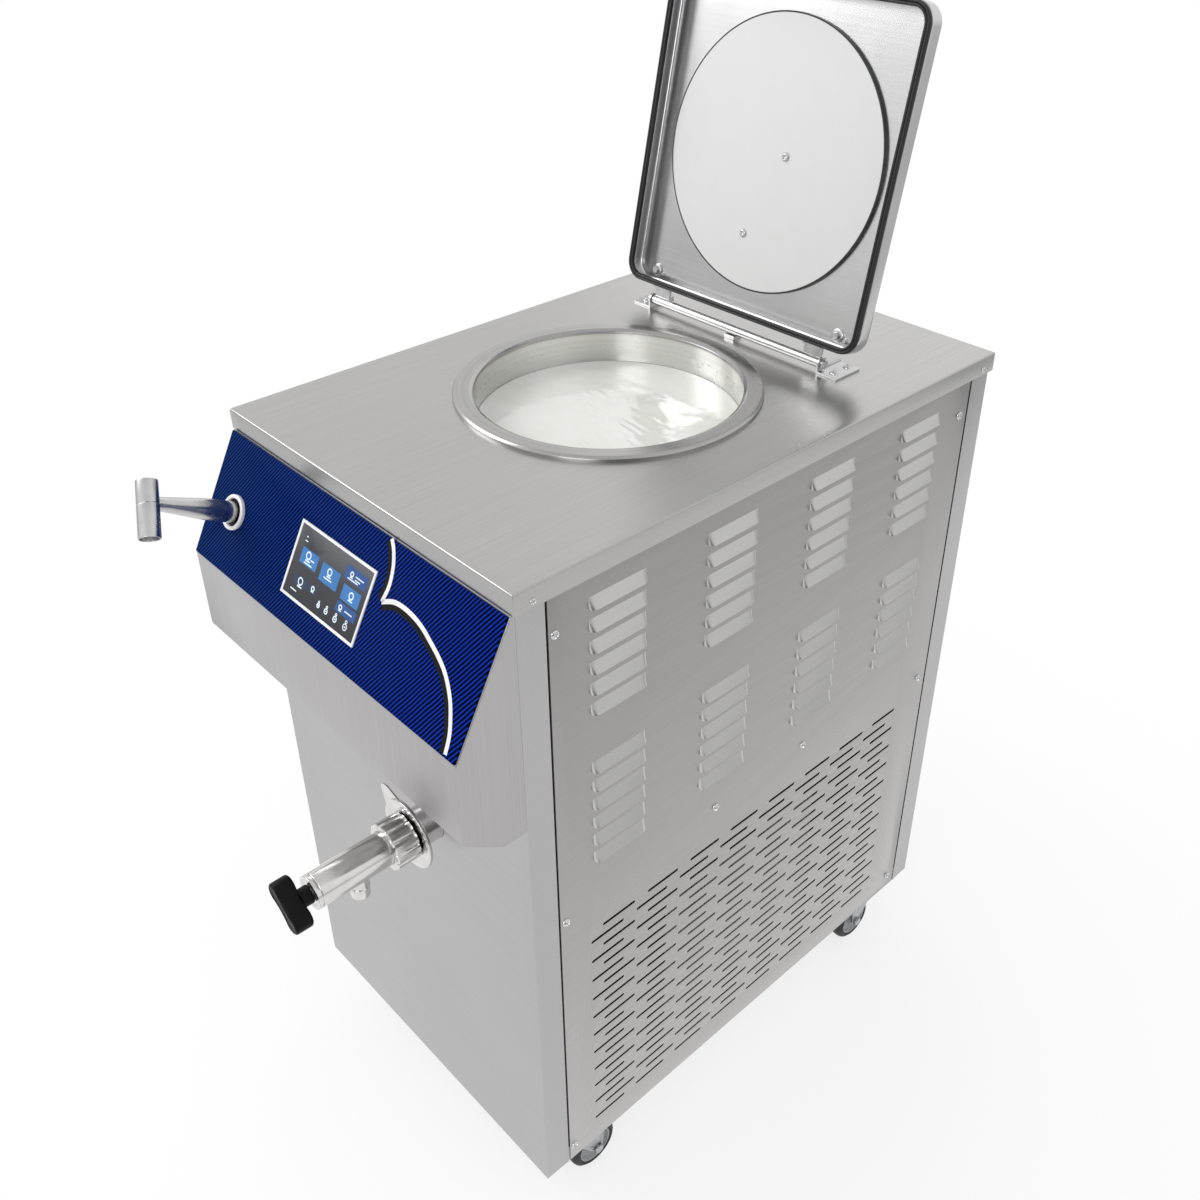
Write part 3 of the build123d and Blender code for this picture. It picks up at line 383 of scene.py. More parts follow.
def eased(profile, radius, steps=3):
    """Rounds the inner corners of a profile."""
    result = [profile[0]]
    for before, corner, after in zip(profile, profile[1:], profile[2:]):
        b, c, a = Vector(before), Vector(corner), Vector(after)
        reach = min(radius, (b - c).length * 0.45, (a - c).length * 0.45)
        start = c + (b - c).normalized() * reach
        end = c + (a - c).normalized() * reach
        for index in range(steps + 1):
            t = index / steps
            result.append(tuple(start * (1 - t) ** 2 + c * 2 * t * (1 - t) + end * t * t))
    result.append(profile[-1])
    return result


def lathe(bm, base, axis, profile, steps=64, first=True, last=True, wrap=False):
    """Turns (along, radius) points about an axis."""
    rings = [circle(base + axis * along, axis, max(radius, 1e-6), steps) for along, radius in profile]
    skin(bm, rings, wrap, first and not wrap, last and not wrap)


def rounded_rectangle(half_x, half_y, corner, steps=8):
    """Corner points of a rectangle with round corners, about its middle."""
    points = []
    for turn, sign_x, sign_y in ((0, 1, 1), (90, -1, 1), (180, -1, -1), (270, 1, -1)):
        for index in range(steps + 1):
            angle = math.radians(turn + 90 * index / steps)
            points.append((sign_x * (half_x - corner) + corner * math.cos(angle),
                           sign_y * (half_y - corner) + corner * math.sin(angle)))
    return points


def islands(name):
    """Boxes of the separate solids in a CAD node."""
    bm = bmesh.new()
    bm.from_mesh(nodes[name].data)
    bmesh.ops.remove_doubles(bm, verts=bm.verts, dist=1e-6)
    found, seen = [], set()
    for start in bm.verts:
        if start.index in seen:
            continue
        stack, points = [start], []
        seen.add(start.index)
        while stack:
            vertex = stack.pop()
            points.append(vertex.co.copy())
            for edge in vertex.link_edges:
                other = edge.other_vert(vertex)
                if other.index not in seen:
                    seen.add(other.index)
                    stack.append(other)
        found.append((Vector(min(p[a] for p in points) for a in range(3)),
                      Vector(max(p[a] for p in points) for a in range(3))))
    bm.free()
    return found


def piece(name, bm, body, made, replaces=(), angle=35):
    """Turns a built mesh into a named piece that rides on a body."""
    bmesh.ops.remove_doubles(bm, verts=bm.verts, dist=1e-7)
    bmesh.ops.recalc_face_normals(bm, faces=bm.faces)
    mesh = bpy.data.meshes.new(name)
    bm.to_mesh(mesh)
    bm.free()
    mesh.materials.append(made)
    mesh.shade_smooth()
    mesh.set_sharp_from_angle(angle=math.radians(angle))
    added = bpy.data.objects.new(name, mesh)
    bpy.context.scene.collection.objects.link(added)
    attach(added, body)
    if replaces:
        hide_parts(*replaces)
    return added


def body_of(name):
    return nodes[name]["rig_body"]


def softened(name, made, fold=0.0, rim=0.3 * MM, wide=5 * MM):
    """A CAD node again with its folds rounded by one radius and its other sharp edges by a smaller one."""
    bm = bmesh.new()
    bm.from_mesh(nodes[name].data)
    bmesh.ops.remove_doubles(bm, verts=bm.verts, dist=1e-6)
    bmesh.ops.dissolve_limit(bm, angle_limit=math.radians(0.5), verts=bm.verts, edges=bm.edges)
    if fold:
        folds = [edge for edge in bm.edges if len(edge.link_faces) == 2 and edge.is_convex
                 and edge.calc_face_angle() > math.radians(25)
                 and min(face.calc_area() for face in edge.link_faces) > wide * edge.calc_length()
                 and edge.calc_length() > wide]
        bmesh.ops.bevel(bm, geom=folds, offset=fold, segments=3, profile=0.5, affect="EDGES", clamp_overlap=False)
    if rim:
        sharp = [edge for edge in bm.edges if len(edge.link_faces) == 2
                 and edge.calc_face_angle() > math.radians(50)]
        bmesh.ops.bevel(bm, geom=sharp, offset=rim, segments=1, profile=0.5, affect="EDGES", clamp_overlap=False)
    return piece(name + "_finished", bm, body_of(name), made, (name,))


def dressed(name, made):
    """A CAD node that stays as it is, in a better material."""
    nodes[name].data.materials.clear()
    nodes[name].data.materials.append(made)


# Camera at the photograph's viewing angle

camera_azimuth = 46.703
camera_elevation = 32.185
camera_roll = 0.05
frame_pixels = 1200
focal_pixels = 1245.8


def make_camera():
    data = bpy.data.cameras.new("camera")
    data.sensor_width = 36.0
    data.lens = focal_pixels / frame_pixels * data.sensor_width
    data.shift_x = -0.0226
    data.shift_y = -0.0543
    data.clip_end = 60.0
    camera = bpy.data.objects.new("camera", data)
    middle_y = (cover_low.y + cover_high.y) / 2
    camera.location = (1.0749, middle_y - 1.0157, 1.7924)
    camera.rotation_euler = (math.radians(90 - camera_elevation), math.radians(camera_roll),
                             math.radians(camera_azimuth))
    bpy.context.scene.collection.objects.link(camera)
    bpy.context.scene.camera = camera


def area_light(name, place, target, size, power):
    data = bpy.data.lights.new(name, "AREA")
    data.shape = "SQUARE"
    data.size = size
    data.energy = power
    light = bpy.data.objects.new(name, data)
    light.location = place
    light.rotation_euler = (Vector(target) - Vector(place)).to_track_quat("-Z", "Y").to_euler()
    bpy.context.scene.collection.objects.link(light)


def make_lights():
    area_light("key", (-2.4, -1.6, 3.0), (0, 0, 0.9), 1.8, 42)
    area_light("fill", (1.6, -3.2, 2.2), (0, 0, 0.7), 1.6, 24)
    area_light("back", (-1.6, 2.6, 2.6), (0, 0, 1.0), 1.8, 2)


def make_world():
    """A soft studio: white all round, dimmer overhead, and the dark room behind the camera."""
    world = bpy.data.worlds.new("studio")
    bpy.context.scene.world = world
    world.use_nodes = True
    background = world.node_tree.nodes["Background"]
    place = node(world, "TexCoord")
    split = node(world, "SeparateXYZ")
    link(world, place.outputs["Generated"], split.inputs["Vector"])
    height = spread(world, split.outputs["Z"], 0.0, 1.0, -1.0, 1.0)
    tone = shades(world, height, [(0.0, (0.5, 0.5, 0.5)), (0.47, (0.62, 0.62, 0.62)), (0.53, (0.95, 0.95, 0.95)),
                                  (0.8, (1.0, 1.0, 1.0)), (1.0, (0.75, 0.75, 0.75))])
    towards = node(world, "VectorMath")
    towards.operation = "DOT_PRODUCT"
    towards.inputs[1].default_value = (0.72, -0.68, 0.12)
    link(world, place.outputs["Generated"], towards.inputs[0])
    room = shades(world, spread(world, towards.outputs["Value"], 0.0, 1.0, 0.72, 0.95),
                  [(0.0, (1.0, 1.0, 1.0)), (1.0, (0.22, 0.22, 0.23))])
    shade = times(world, tone, room)
    path = node(world, "LightPath")
    mix = node(world, "Mix")
    mix.data_type = "RGBA"
    mix.inputs["B"].default_value = (1.0, 1.0, 1.0, 1.0)
    link(world, path.outputs["Is Camera Ray"], mix.inputs["Factor"])
    link(world, shade, mix.inputs["A"])
    link(world, mix.outputs["Result"], background.inputs["Color"])
    background.inputs["Strength"].default_value = 1.0


def make_floor():
    """A pale floor that shows white to the camera and in reflections, and keeps the shadow."""
    bm = bmesh.new()
    skin(bm, [circle(Vector((0, 0, 0)), Z, radius, 64) for radius in (0.001, 1.0, 3.2)])
    mesh = bpy.data.meshes.new("floor")
    bm.to_mesh(mesh)
    bm.free()
    floor = bpy.data.objects.new("floor", mesh)
    bpy.context.scene.collection.objects.link(floor)
    made, shader = material("floor", (0.93, 0.93, 0.93), 0.9)
    path = node(made, "LightPath")
    seen = node(made, "Math")
    seen.operation = "ADD"
    link(made, path.outputs["Is Camera Ray"], seen.inputs[0])
    link(made, path.outputs["Is Glossy Ray"], seen.inputs[1])
    also = node(made, "Math")
    also.operation = "ADD"
    also.use_clamp = True
    link(made, seen.outputs["Value"], also.inputs[0])
    link(made, path.outputs["Is Transmission Ray"], also.inputs[1])
    place = node(made, "TexCoord")
    distance = node(made, "VectorMath")
    distance.operation = "LENGTH"
    link(made, place.outputs["Object"], distance.inputs[0])
    part = node(made, "Math")
    part.operation = "MULTIPLY"
    link(made, spread(made, distance.outputs["Value"], 0.75, 1.0, 0.5, 1.5), part.inputs[1])
    link(made, also.outputs["Value"], part.inputs[0])
    glow = node(made, "Emission", Color=(1.0, 1.0, 1.0, 1.0), Strength=1.0)
    mixed = node(made, "MixShader")
    link(made, part.outputs["Value"], mixed.inputs["Fac"])
    link(made, shader.outputs["BSDF"], mixed.inputs[1])
    link(made, glow.outputs["Emission"], mixed.inputs[2])
    output = made.node_tree.nodes["Material Output"]
    link(made, mixed.outputs["Shader"], output.inputs["Surface"])
    mesh.materials.append(made)


# Side panels with domed louvres and round-ended slots

louvre_length = 84 * MM
louvre_height = 15 * MM
louvre_reach = 7 * MM
louvre_round = 9 * MM
louvre_skin = 1.0 * MM
louvre_pitch = 28.6 * MM
louvre_rows = 6
louvre_columns = 4
louvre_front = 143 * MM
louvre_rear = 154 * MM
louvre_top = 60 * MM
louvre_group_pitch = 229 * MM
slot_length = 56 * MM
slot_width = 4.5 * MM
slot_shift = 20 * MM
slot_row_pitch = 18.4 * MM
slot_rows = 22
slot_columns = 8
slot_front = 142 * MM
slot_rear = 145 * MM
slot_bottom = 47.6 * MM
edge_round = 0.45 * MM


def columns(front, rear, count):
    """Evenly spaced places along the cabinet's depth."""
    pitch = (cover_high.y - cover_low.y - front - rear) / (count - 1)
    return [cover_low.y + front + index * pitch for index in range(count)]


def louvre_places(groups):
    places = []
    for y in columns(louvre_front, louvre_rear, louvre_columns):
        for group in range(groups):
            for row in range(louvre_rows):
                places.append((y, top_z - louvre_top - group * louvre_group_pitch - row * louvre_pitch))
    return places


def slot_outline(y, z):
    """A slot with half-round ends, clockwise."""
    half, radius = slot_length / 2 - slot_width / 2, slot_width / 2
    points = []
    for middle, start in ((y + half, 90), (y - half, -90)):
        for index in range(6):
            angle = math.radians(start - 36 * index)
            points.append((middle + radius * math.cos(angle), z + radius * math.sin(angle)))
    return points


def louvre_rise(along, below):
    """How far the hood stands out: a slanted face that curves back to the sheet at both ends."""
    end = min(1.0, (louvre_length / 2 - abs(along)) / louvre_round)
    return louvre_reach * math.sqrt(max(0.0, 1 - (1 - end) ** 2)) * below / louvre_height


def add_louvre(bm, side, y, z):
    """One pressed hood, open along its lower edge."""
    half = louvre_length / 2
    ends = [0, 0.02, 0.05, 0.09, 0.14, 0.2]
    lengths = [-half + half * e for e in ends] + [0.0] + [half - half * e for e in reversed(ends)]
    drops = [0, 0.1, 0.4, 0.8, 0.95, 1.0]
    rings = []
    for drop in drops:
        row = []
        for along in lengths:
            rise = louvre_rise(along, drop * louvre_height)
            row.append(Vector((side * (body_half + rise - 0.1 * MM), y + along, z + louvre_height * (0.5 - drop))))
        rings.append(row)
    outer = [[bm.verts.new(point) for point in row] for row in rings]
    inner = [[bm.verts.new(point - side * X * louvre_skin) for point in row] for row in rings]
    for layer in (outer, inner):
        for one, two in zip(layer, layer[1:]):
            for index in range(len(one) - 1):
                bm.faces.new((one[index], one[index + 1], two[index + 1], two[index]))
    for index in range(len(lengths) - 1):
        bm.faces.new((outer[-1][index], outer[-1][index + 1], inner[-1][index + 1], inner[-1][index]))


def side_panel(name, side, groups, slotted):
    low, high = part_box(name)
    outline = [(low.y, low.z), (high.y, low.z), (high.y, high.z), (low.y, high.z)]
    holes = []
    for y, z in louvre_places(groups):
        half, lower, upper = louvre_length / 2 - 3 * MM, z - louvre_height / 2, z
        holes.append([(y - half, lower), (y - half, upper), (y + half, upper), (y + half, lower)])
    if slotted:
        for row in range(slot_rows):
            shift = 0 if row % 2 else slot_shift
            for y in columns(slot_front, slot_rear, slot_columns):
                holes.append(slot_outline(y - shift, low.z + slot_bottom + row * slot_row_pitch))
    curve = bpy.data.curves.new(name + "_flat", "CURVE")
    curve.dimensions = "2D"
    curve.fill_mode = "BOTH"
    curve.extrude = sheet / 2 - edge_round
    curve.bevel_depth = edge_round
    curve.bevel_resolution = 1
    curve.offset = -edge_round
    for points in [outline] + holes:
        spline = curve.splines.new("POLY")
        spline.points.add(len(points) - 1)
        for point, (y, z) in zip(spline.points, points):
            point.co = (y, z, 0, 1)
        spline.use_cyclic_u = True
    flat = bpy.data.objects.new(name + "_flat", curve)
    bpy.context.scene.collection.objects.link(flat)
    bpy.context.view_layer.update()
    mesh = bpy.data.meshes.new_from_object(flat.evaluated_get(bpy.context.evaluated_depsgraph_get()))
    bpy.data.objects.remove(flat)
    bm = bmesh.new()
    bm.from_mesh(mesh)
    bpy.data.meshes.remove(mesh)
    upright = Matrix(((0, 0, 1, side * (body_half - sheet / 2)), (1, 0, 0, 0), (0, 1, 0, 0), (0, 0, 0, 1)))
    bmesh.ops.transform(bm, matrix=upright, verts=bm.verts)
    piece(name + "_flat", bm, "cabinet", side_steel, (name,), 30)
    bm = bmesh.new()
    for y, z in louvre_places(groups):
        add_louvre(bm, side, y, z)
    # The hoods take the brighter steel, which is painted light.
    piece(name + "_hoods", bm, "cabinet", hood_steel_painted_light, (), 30)


# Screws

def add_screw(bm, face, axis, radius, rise):
    """A pan head with a cross recess."""
    steps = 32
    across = axis.orthogonal().normalized()
    up = axis.cross(across)
    rows = []
    for share in (0.03, 0.14, 0.28, 0.42, 0.56, 0.7, 0.84, 0.95, 1.0):
        row = []
        for index in range(steps):
            turn = 2 * math.pi * index / steps + 0.4
            u, v = share * math.cos(turn), share * math.sin(turn)
            height = rise * math.sqrt(max(0.0, 1 - share ** 3))
            if share < 0.6 and min(abs(u), abs(v)) < 0.13:
                height -= rise * 0.55
            row.append(face + radius * (u * across + v * up) + axis * height)
        rows.append(row)
    skin(bm, rows, first=True)


def make_screws():
    bm = bmesh.new()
    for low, high in islands("cabinet_screws"):
        side = 1 if low.x > 0 else -1
        middle = (low + high) / 2
        face = Vector((low.x if side > 0 else high.x, middle.y, middle.z))
        add_screw(bm, face, side * X, (high.y - low.y) / 2, high.x - low.x)
    piece("cabinet_screw_heads", bm, "cabinet", fitting_steel, ("cabinet_screws",))
    bm = bmesh.new()
    for low, high in islands("hinge_bolts"):
        middle = (low + high) / 2
        add_screw(bm, Vector((middle.x, middle.y, low.z)), Z, (high.y - low.y) / 2, high.z - low.z)
    piece("hinge_bolt_heads", bm, "cabinet", fitting_steel, ("hinge_bolts",))


# Bowl, its ring and the milk

weld_down = 20 * MM
milk_down = 42 * MM
milk_depth = 6 * MM
dimple_count = 60


def make_ring():
    """The turned rim ring with its bevels."""
    inner = bowl_radius
    outer = (ring_high.x - ring_low.x) / 2
    rise = ring_high.z - ring_low.z
    profile = eased([(0, inner), (rise * 0.55, inner), (rise, inner + 5 * MM), (rise, outer - 3 * MM),
                     (rise - 3 * MM, outer), (0, outer)], 0.9 * MM)
    bm = bmesh.new()
    lathe(bm, Vector((0, bowl_centre.y, ring_low.z)), Z, profile, 160, wrap=True)
    piece("rim_ring", bm, "cabinet", ring_steel, ("bowl_ring",), 50)


def make_milk():
    """The milk's surface, with a meniscus at the wall and slow ripples."""
    bm = bmesh.new()
    surface = top_z - milk_down
    steps = 96
    rows = []
    for share in [0.002] + [index / 26 for index in range(1, 27)]:
        radius = share * (bowl_radius - 0.4 * MM)
        row = []
        for index in range(steps):
            turn = 2 * math.pi * index / steps
            x, y = radius * math.cos(turn), radius * math.sin(turn)
            ripple = math.sin(70 * x + 25 * math.sin(22 * y)) * math.cos(62 * y + 3 * math.sin(35 * x))
            rise = 0.0005 * ripple * (1 - share ** 4) + 0.0012 * share ** 30
            row.append(Vector((x, bowl_centre.y + y, surface + rise)))
        rows.append(row)
    wall = [Vector((point.x, point.y, surface - milk_depth)) for point in rows[-1]]
    skin(bm, rows + [wall], first=True, last=True)
    piece("milk_surface", bm, "cabinet", milk_white)


def make_bowl_marks():
    """A row of fine spot-weld dimples under the rim."""
    bm = bmesh.new()
    depth = top_z - weld_down
    for index in range(dimple_count):
        turn = 2 * math.pi * (index + 0.3 * math.sin(5 * index)) / dimple_count
        out = Vector((math.cos(turn), math.sin(turn), 0))
        place = Vector((0, bowl_centre.y, depth)) + out * (bowl_radius - 0.25 * MM)
        place.z += 1.2 * MM * math.sin(3.7 * index)
        lathe(bm, place, -out, [(0, 1.3 * MM), (0.15 * MM, 1.1 * MM), (0.3 * MM, 0.3 * MM)], 10)
    piece("bowl_weld_dimples", bm, "cabinet", bowl_steel)


# Lid

lid_fold = 6 * MM
lid_sheet = 1.2 * MM
lid_corner = 27 * MM
lid_flange = 9 * MM


def lid_ring(low, high, inset, z):
    """The lid's outline drawn in by inset, at one height, as it lies shut."""
    half_x, half_y = (high.x - low.x) / 2 - inset, (high.y - low.y) / 2 - inset
    middle = (low + high) / 2
    corner = max(lid_corner - inset, 2 * MM)
    return [Vector((middle.x + x, middle.y + y, z)) for x, y in rounded_rectangle(half_x, half_y, corner)]


def swung(bm):
    """Turns what is built shut to where the lid stands."""
    bmesh.ops.transform(bm, matrix=lid_turn, verts=bm.verts)
    return bm


def make_lid():
    low, high = shut_box("lid_shell")
    bm = bmesh.new()
    outside = eased([(lid_flange, low.z), (0, low.z), (0, high.z), (3 * lid_fold, high.z)], lid_fold, 5)
    skin(bm, [lid_ring(low, high, inset, z) for inset, z in outside], last=True)
    inside = eased([(lid_flange, low.z), (lid_flange, low.z + lid_sheet), (lid_sheet, low.z + lid_sheet),
                    (lid_sheet, high.z - lid_sheet), (3 * lid_fold, high.z - lid_sheet)], lid_fold - lid_sheet, 5)
    skin(bm, [lid_ring(low, high, inset, z) for inset, z in inside], last=True)
    piece("lid_pressing", swung(bm), "lid", lid_steel, ("lid_shell",))


def make_gasket():
    """The rubber strip with two rounded ridges."""
    low, high = shut_box("lid_gasket")
    low_lid, high_lid = shut_box("lid_shell")
    section = [(0.0, high.z)]
    for middle in (2.3 * MM, 6.2 * MM):
        for index in range(7):
            angle = math.pi * index / 6
            section.append((middle - 2.1 * MM * math.cos(angle), low.z + 2.1 * MM - 2.1 * MM * math.sin(angle)))
    section.append((8.4 * MM, high.z))
    bm = bmesh.new()
    skin(bm, [lid_ring(low, high, inset, z) for inset, z in section], wrap=True)
    piece("gasket_strip", swung(bm), "lid", gasket_rubber, ("lid_gasket",), 60)


liner_dark_band = 2.2 * MM


def make_liner():
    """The round pale plate and a dark band round its edge."""
    low, high = shut_box("lid_liner")
    middle = (low + high) / 2
    radius = (high.x - low.x) / 2
    face = Vector((middle.x, middle.y, low.z))
    bm = bmesh.new()
    lathe(bm, face, Z, eased([(0, 0), (0, radius - liner_dark_band), (0.8 * MM, radius - liner_dark_band + 0.4 * MM),
                              (high.z - low.z, radius - liner_dark_band)], 0.5 * MM), 128)
    piece("liner_plate", swung(bm), "lid", liner_plastic, ("lid_liner",))
    # A black band round the plate's rim, set back 0.3 mm from the plate's face.
    bm = bmesh.new()
    edge = [(0.3 * MM, radius - liner_dark_band), (0.3 * MM, radius), (high.z - low.z, radius)]
    lathe(bm, face, Z, edge + [(high.z - low.z, radius - liner_dark_band)], 128, wrap=True)
    piece("liner_dark_edge", swung(bm), "lid", gasket_rubber)


def add_socket_screw(bm, face, axis, radius, rise):
    """A button head with a round socket."""
    profile = eased([(0, radius), (rise * 0.4, radius), (rise, radius * 0.62), (rise, radius * 0.42),
                     (rise * 0.3, radius * 0.38), (rise * 0.3, 0)], radius * 0.2)
    lathe(bm, face, axis, profile, 32)


def add_hexagon(bm, face, axis, radius, rise):
    """A hexagon nut with eased corners."""
    rings = []
    for along, share in ((0, 1.0), (rise * 0.8, 1.0), (rise, 0.88)):
        rings.append(circle(face + axis * along, axis, radius * share, 6))
    skin(bm, rings, first=True, last=True)


lug_places = ((-172, 8), (163, 8))
lug_radius = 9 * MM


def make_lid_fixings():
    """The two screws on the liner, and the lugs with their bolts in the lid's lower corners."""
    low, high = shut_box("liner_screws")
    boxes = []
    for one, two in islands("liner_screws"):
        boxes.append(lid_turn.inverted() @ ((one + two) / 2))
    bm = bmesh.new()
    for middle in boxes:
        add_socket_screw(bm, Vector((middle.x, middle.y, high.z)), -Z, 6 * MM, high.z - low.z)
    piece("liner_screw_heads", swung(bm), "lid", fitting_steel, ("liner_screws",))
    shell_low, shell_high = shut_box("lid_shell")
    floor = shell_high.z - lid_sheet
    bm = bmesh.new()
    for x, up in lug_places:
        place = Vector((x * MM, shell_high.y - lid_flange - up * MM, floor))
        lathe(bm, place, -Z, eased([(0, lug_radius), (2.5 * MM, lug_radius), (3.2 * MM, lug_radius * 0.8),
                                    (3.2 * MM, 0)], 0.6 * MM), 40)
        add_hexagon(bm, place - Z * 3.1 * MM, -Z, 5.2 * MM, 4 * MM)
        beside = place + X * (13 * MM) + Y * (5 * MM)
        lathe(bm, beside, -Z, [(0, 4.6 * MM), (1.2 * MM, 4.4 * MM), (1.2 * MM, 0)], 24)
        add_hexagon(bm, beside - Z * MM, -Z, 3.4 * MM, 3 * MM)
    piece("lid_lugs", swung(bm), "lid", fitting_steel)


# Control head

sweep_width = 5.5 * MM
sweep_shade = 6.5 * MM
upper_sweep = ((76, 2), (84, 11), (91, 24), (95, 38), (96, 52), (93, 69))
lower_sweep = ((93, 69), (113, 60.5), (137, 59.6), (162, 64), (184, 72.5), (205, 82), (222, 93), (238, 110),
               (248, 127), (255, 144), (258, 163))
skirt_edge = Vector((0, cover_low.y, cover_low.z))
fascia_lift = 2.5 * MM


def on_slope(x, down, lift):
    """A point of the sloped face: across, down the slope, and out from it, in metres."""
    return skirt_edge + X * x + slope_down * down + spray_normal * lift


def smooth_line(points, steps=6):
    """A smooth line through given points."""
    padded = [points[0]] + list(points) + [points[-1]]
    line = []
    for a, b, c, d in zip(padded, padded[1:], padded[2:], padded[3:]):
        for index in range(steps):
            t = index / steps
            line.append(tuple(0.5 * (2 * b[k] + (c[k] - a[k]) * t + (2 * a[k] - 5 * b[k] + 4 * c[k] - d[k]) * t * t
                                     + (3 * b[k] - a[k] - 3 * c[k] + d[k]) * t ** 3) for k in range(2)))
    line.append(points[-1])
    return line


def add_ribbon(bm, line, inner, outer, lift):
    """A thin band beside a line on the sloped face, between two offsets to its left."""
    pairs = []
    for index, (x, down) in enumerate(line):
        before, after = line[max(index - 1, 0)], line[min(index + 1, len(line) - 1)]
        along = Vector((after[0] - before[0], after[1] - before[1])).normalized()
        side = Vector((-along.y, along.x))
        points = [Vector((x, down)) * MM + side * offset for offset in (inner, outer)]
        pairs.append([bm.verts.new(on_slope(point.x, point.y, lift)) for point in points])
    for one, two in zip(pairs, pairs[1:]):
        bm.faces.new((one[0], one[1], two[1], two[0]))


def make_stripe():
    """The pale sweep on the fascia with its dark shade on the left."""
    upper, lower = smooth_line(upper_sweep), smooth_line(lower_sweep)
    half = sweep_width / 2
    bm, shade = bmesh.new(), bmesh.new()
    for line in (upper, lower):
        add_ribbon(bm, line, -half, half, fascia_lift + 0.15 * MM)
        add_ribbon(shade, line, half, half + sweep_shade, fascia_lift + 0.1 * MM)
    piece("fascia_sweep", bm, "cabinet", white_plastic)
    piece("fascia_sweep_shade", shade, "cabinet", black_plastic)


screen_x = -5 * MM
screen_down = 89 * MM
screen_width = 146 * MM
screen_height = 85 * MM
glass_lift = 3.0 * MM


def on_screen(u, v, lift):
    """A point of the display by its share across and down."""
    return on_slope(screen_x + (u - 0.5) * screen_width, screen_down + (v - 0.5) * screen_height, glass_lift + lift)


def add_patch(bm, u0, v0, u1, v1, lift=0.1 * MM):
    bm.faces.new([bm.verts.new(on_screen(u, v, lift)) for u, v in ((u0, v0), (u0, v1), (u1, v1), (u1, v0))])


def add_loop(bm, u, v, radius, width, lift=0.2 * MM, turns=(0, 360), flat=1.0):
    """A drawn arc, its radius as a share of the display's height."""
    wide = screen_height / screen_width
    steps = 20
    pairs = []
    for index in range(steps + 1):
        angle = math.radians(turns[0] + (turns[1] - turns[0]) * index / steps)
        pair = []
        for reach in (radius - width / 2, radius + width / 2):
            pair.append(bm.verts.new(on_screen(u + reach * wide * math.cos(angle),
                                               v - reach * flat * math.sin(angle), lift)))
        pairs.append(pair)
    for one, two in zip(pairs, pairs[1:]):
        bm.faces.new((one[0], one[1], two[1], two[0]))


def emissive(name, colour, strength=0.2):
    made, shader = material(name, colour, 0.25, 0.0)
    glow = texture(made, "TexNoise", (40.0, 40.0, 40.0), Scale=1.0)
    link(made, shades(made, glow.outputs["Fac"], [(0.3, tinted(colour, 0.85)), (0.7, tinted(colour, 1.1))]),
         shader.inputs["Base Color"])
    shader.inputs["Emission Color"].default_value = (*colour, 1)
    shader.inputs["Emission Strength"].default_value = strength
    return made


def make_screen():
    """The display: dark ground, blue tiles and plain white symbols."""
    ground, shader = material("screen_ground", (0.05, 0.055, 0.065), 0.1, 0.0, Coat_Weight=0.3,
                              Coat_Roughness=0.03, Specular_IOR_Level=0.25)
    place = node(ground, "TexCoord")
    split = node(ground, "SeparateXYZ")
    link(ground, place.outputs["Object"], split.inputs["Vector"])
    height = spread(ground, split.outputs["Z"], 0.0, 1.0, bezel_low.z, bezel_high.z)
    link(ground, shades(ground, height, [(0.0, (0.02, 0.022, 0.028)), (0.6, (0.04, 0.043, 0.05)),
                                         (1.0, (0.12, 0.125, 0.135))]), shader.inputs["Base Color"])
    dressed("touch_screen", ground)
    bright, deep, night = (0.03, 0.16, 0.42), (0.015, 0.07, 0.24), (0.015, 0.03, 0.07)
    tiles = {"tiles_bright": (bright, [(0.09, 0.285, 0.325, 0.505), (0.385, 0.295, 0.635, 0.55),
                                       (0.705, 0.365, 0.94, 0.58)]),
             "tiles_deep": (deep, [(0.675, 0.11, 0.96, 0.30), (0.69, 0.61, 0.955, 0.76)]),
             "tiles_night": (night, [(0.10, 0.665, 0.285, 0.82), (0.31, 0.66, 0.42, 0.78)])}
    for name, (colour, places) in tiles.items():
        bm = bmesh.new()
        for place in places:
            add_patch(bm, *place)
        piece(name, bm, "cabinet", emissive(name, colour))
    bm = bmesh.new()
    for u, v, size in ((0.19, 0.36, 0.05), (0.50, 0.37, 0.045), (0.76, 0.20, 0.03), (0.83, 0.46, 0.045),
                       (0.75, 0.68, 0.03), (0.19, 0.74, 0.05), (0.365, 0.715, 0.03)):
        add_loop(bm, u, v, size, 0.022)
        add_patch(bm, u - size * 0.55, v + size * 1.3, u + size * 0.75, v + size * 1.75, 0.2 * MM)
    for u in (0.155, 0.445):
        add_patch(bm, u, 0.465, u + 0.11, 0.485, 0.2 * MM)
    for u, v, wide in ((0.81, 0.19, 0.11), (0.81, 0.235, 0.07), (0.81, 0.68, 0.10), (0.72, 0.265, 0.14),
                       (0.09, 0.89, 0.085), (0.095, 0.13, 0.02), (0.09, 0.19, 0.04), (0.23, 0.39, 0.05)):
        add_patch(bm, u, v, u + wide, v + 0.018, 0.2 * MM)
    for u, v, size in ((0.49, 0.86, 0.028), (0.60, 0.86, 0.034), (0.73, 0.87, 0.038), (0.87, 0.87, 0.042)):
        add_loop(bm, u, v, size, 0.018)
        add_loop(bm, u, v - size * 1.7, size * 0.45, 0.016)
        add_patch(bm, u - 0.012, v - 0.01, u + 0.012, v + 0.01, 0.2 * MM)
    piece("screen_symbols", bm, "cabinet", emissive("symbol_white", (0.62, 0.72, 0.80), 0.25))


# Drain valve

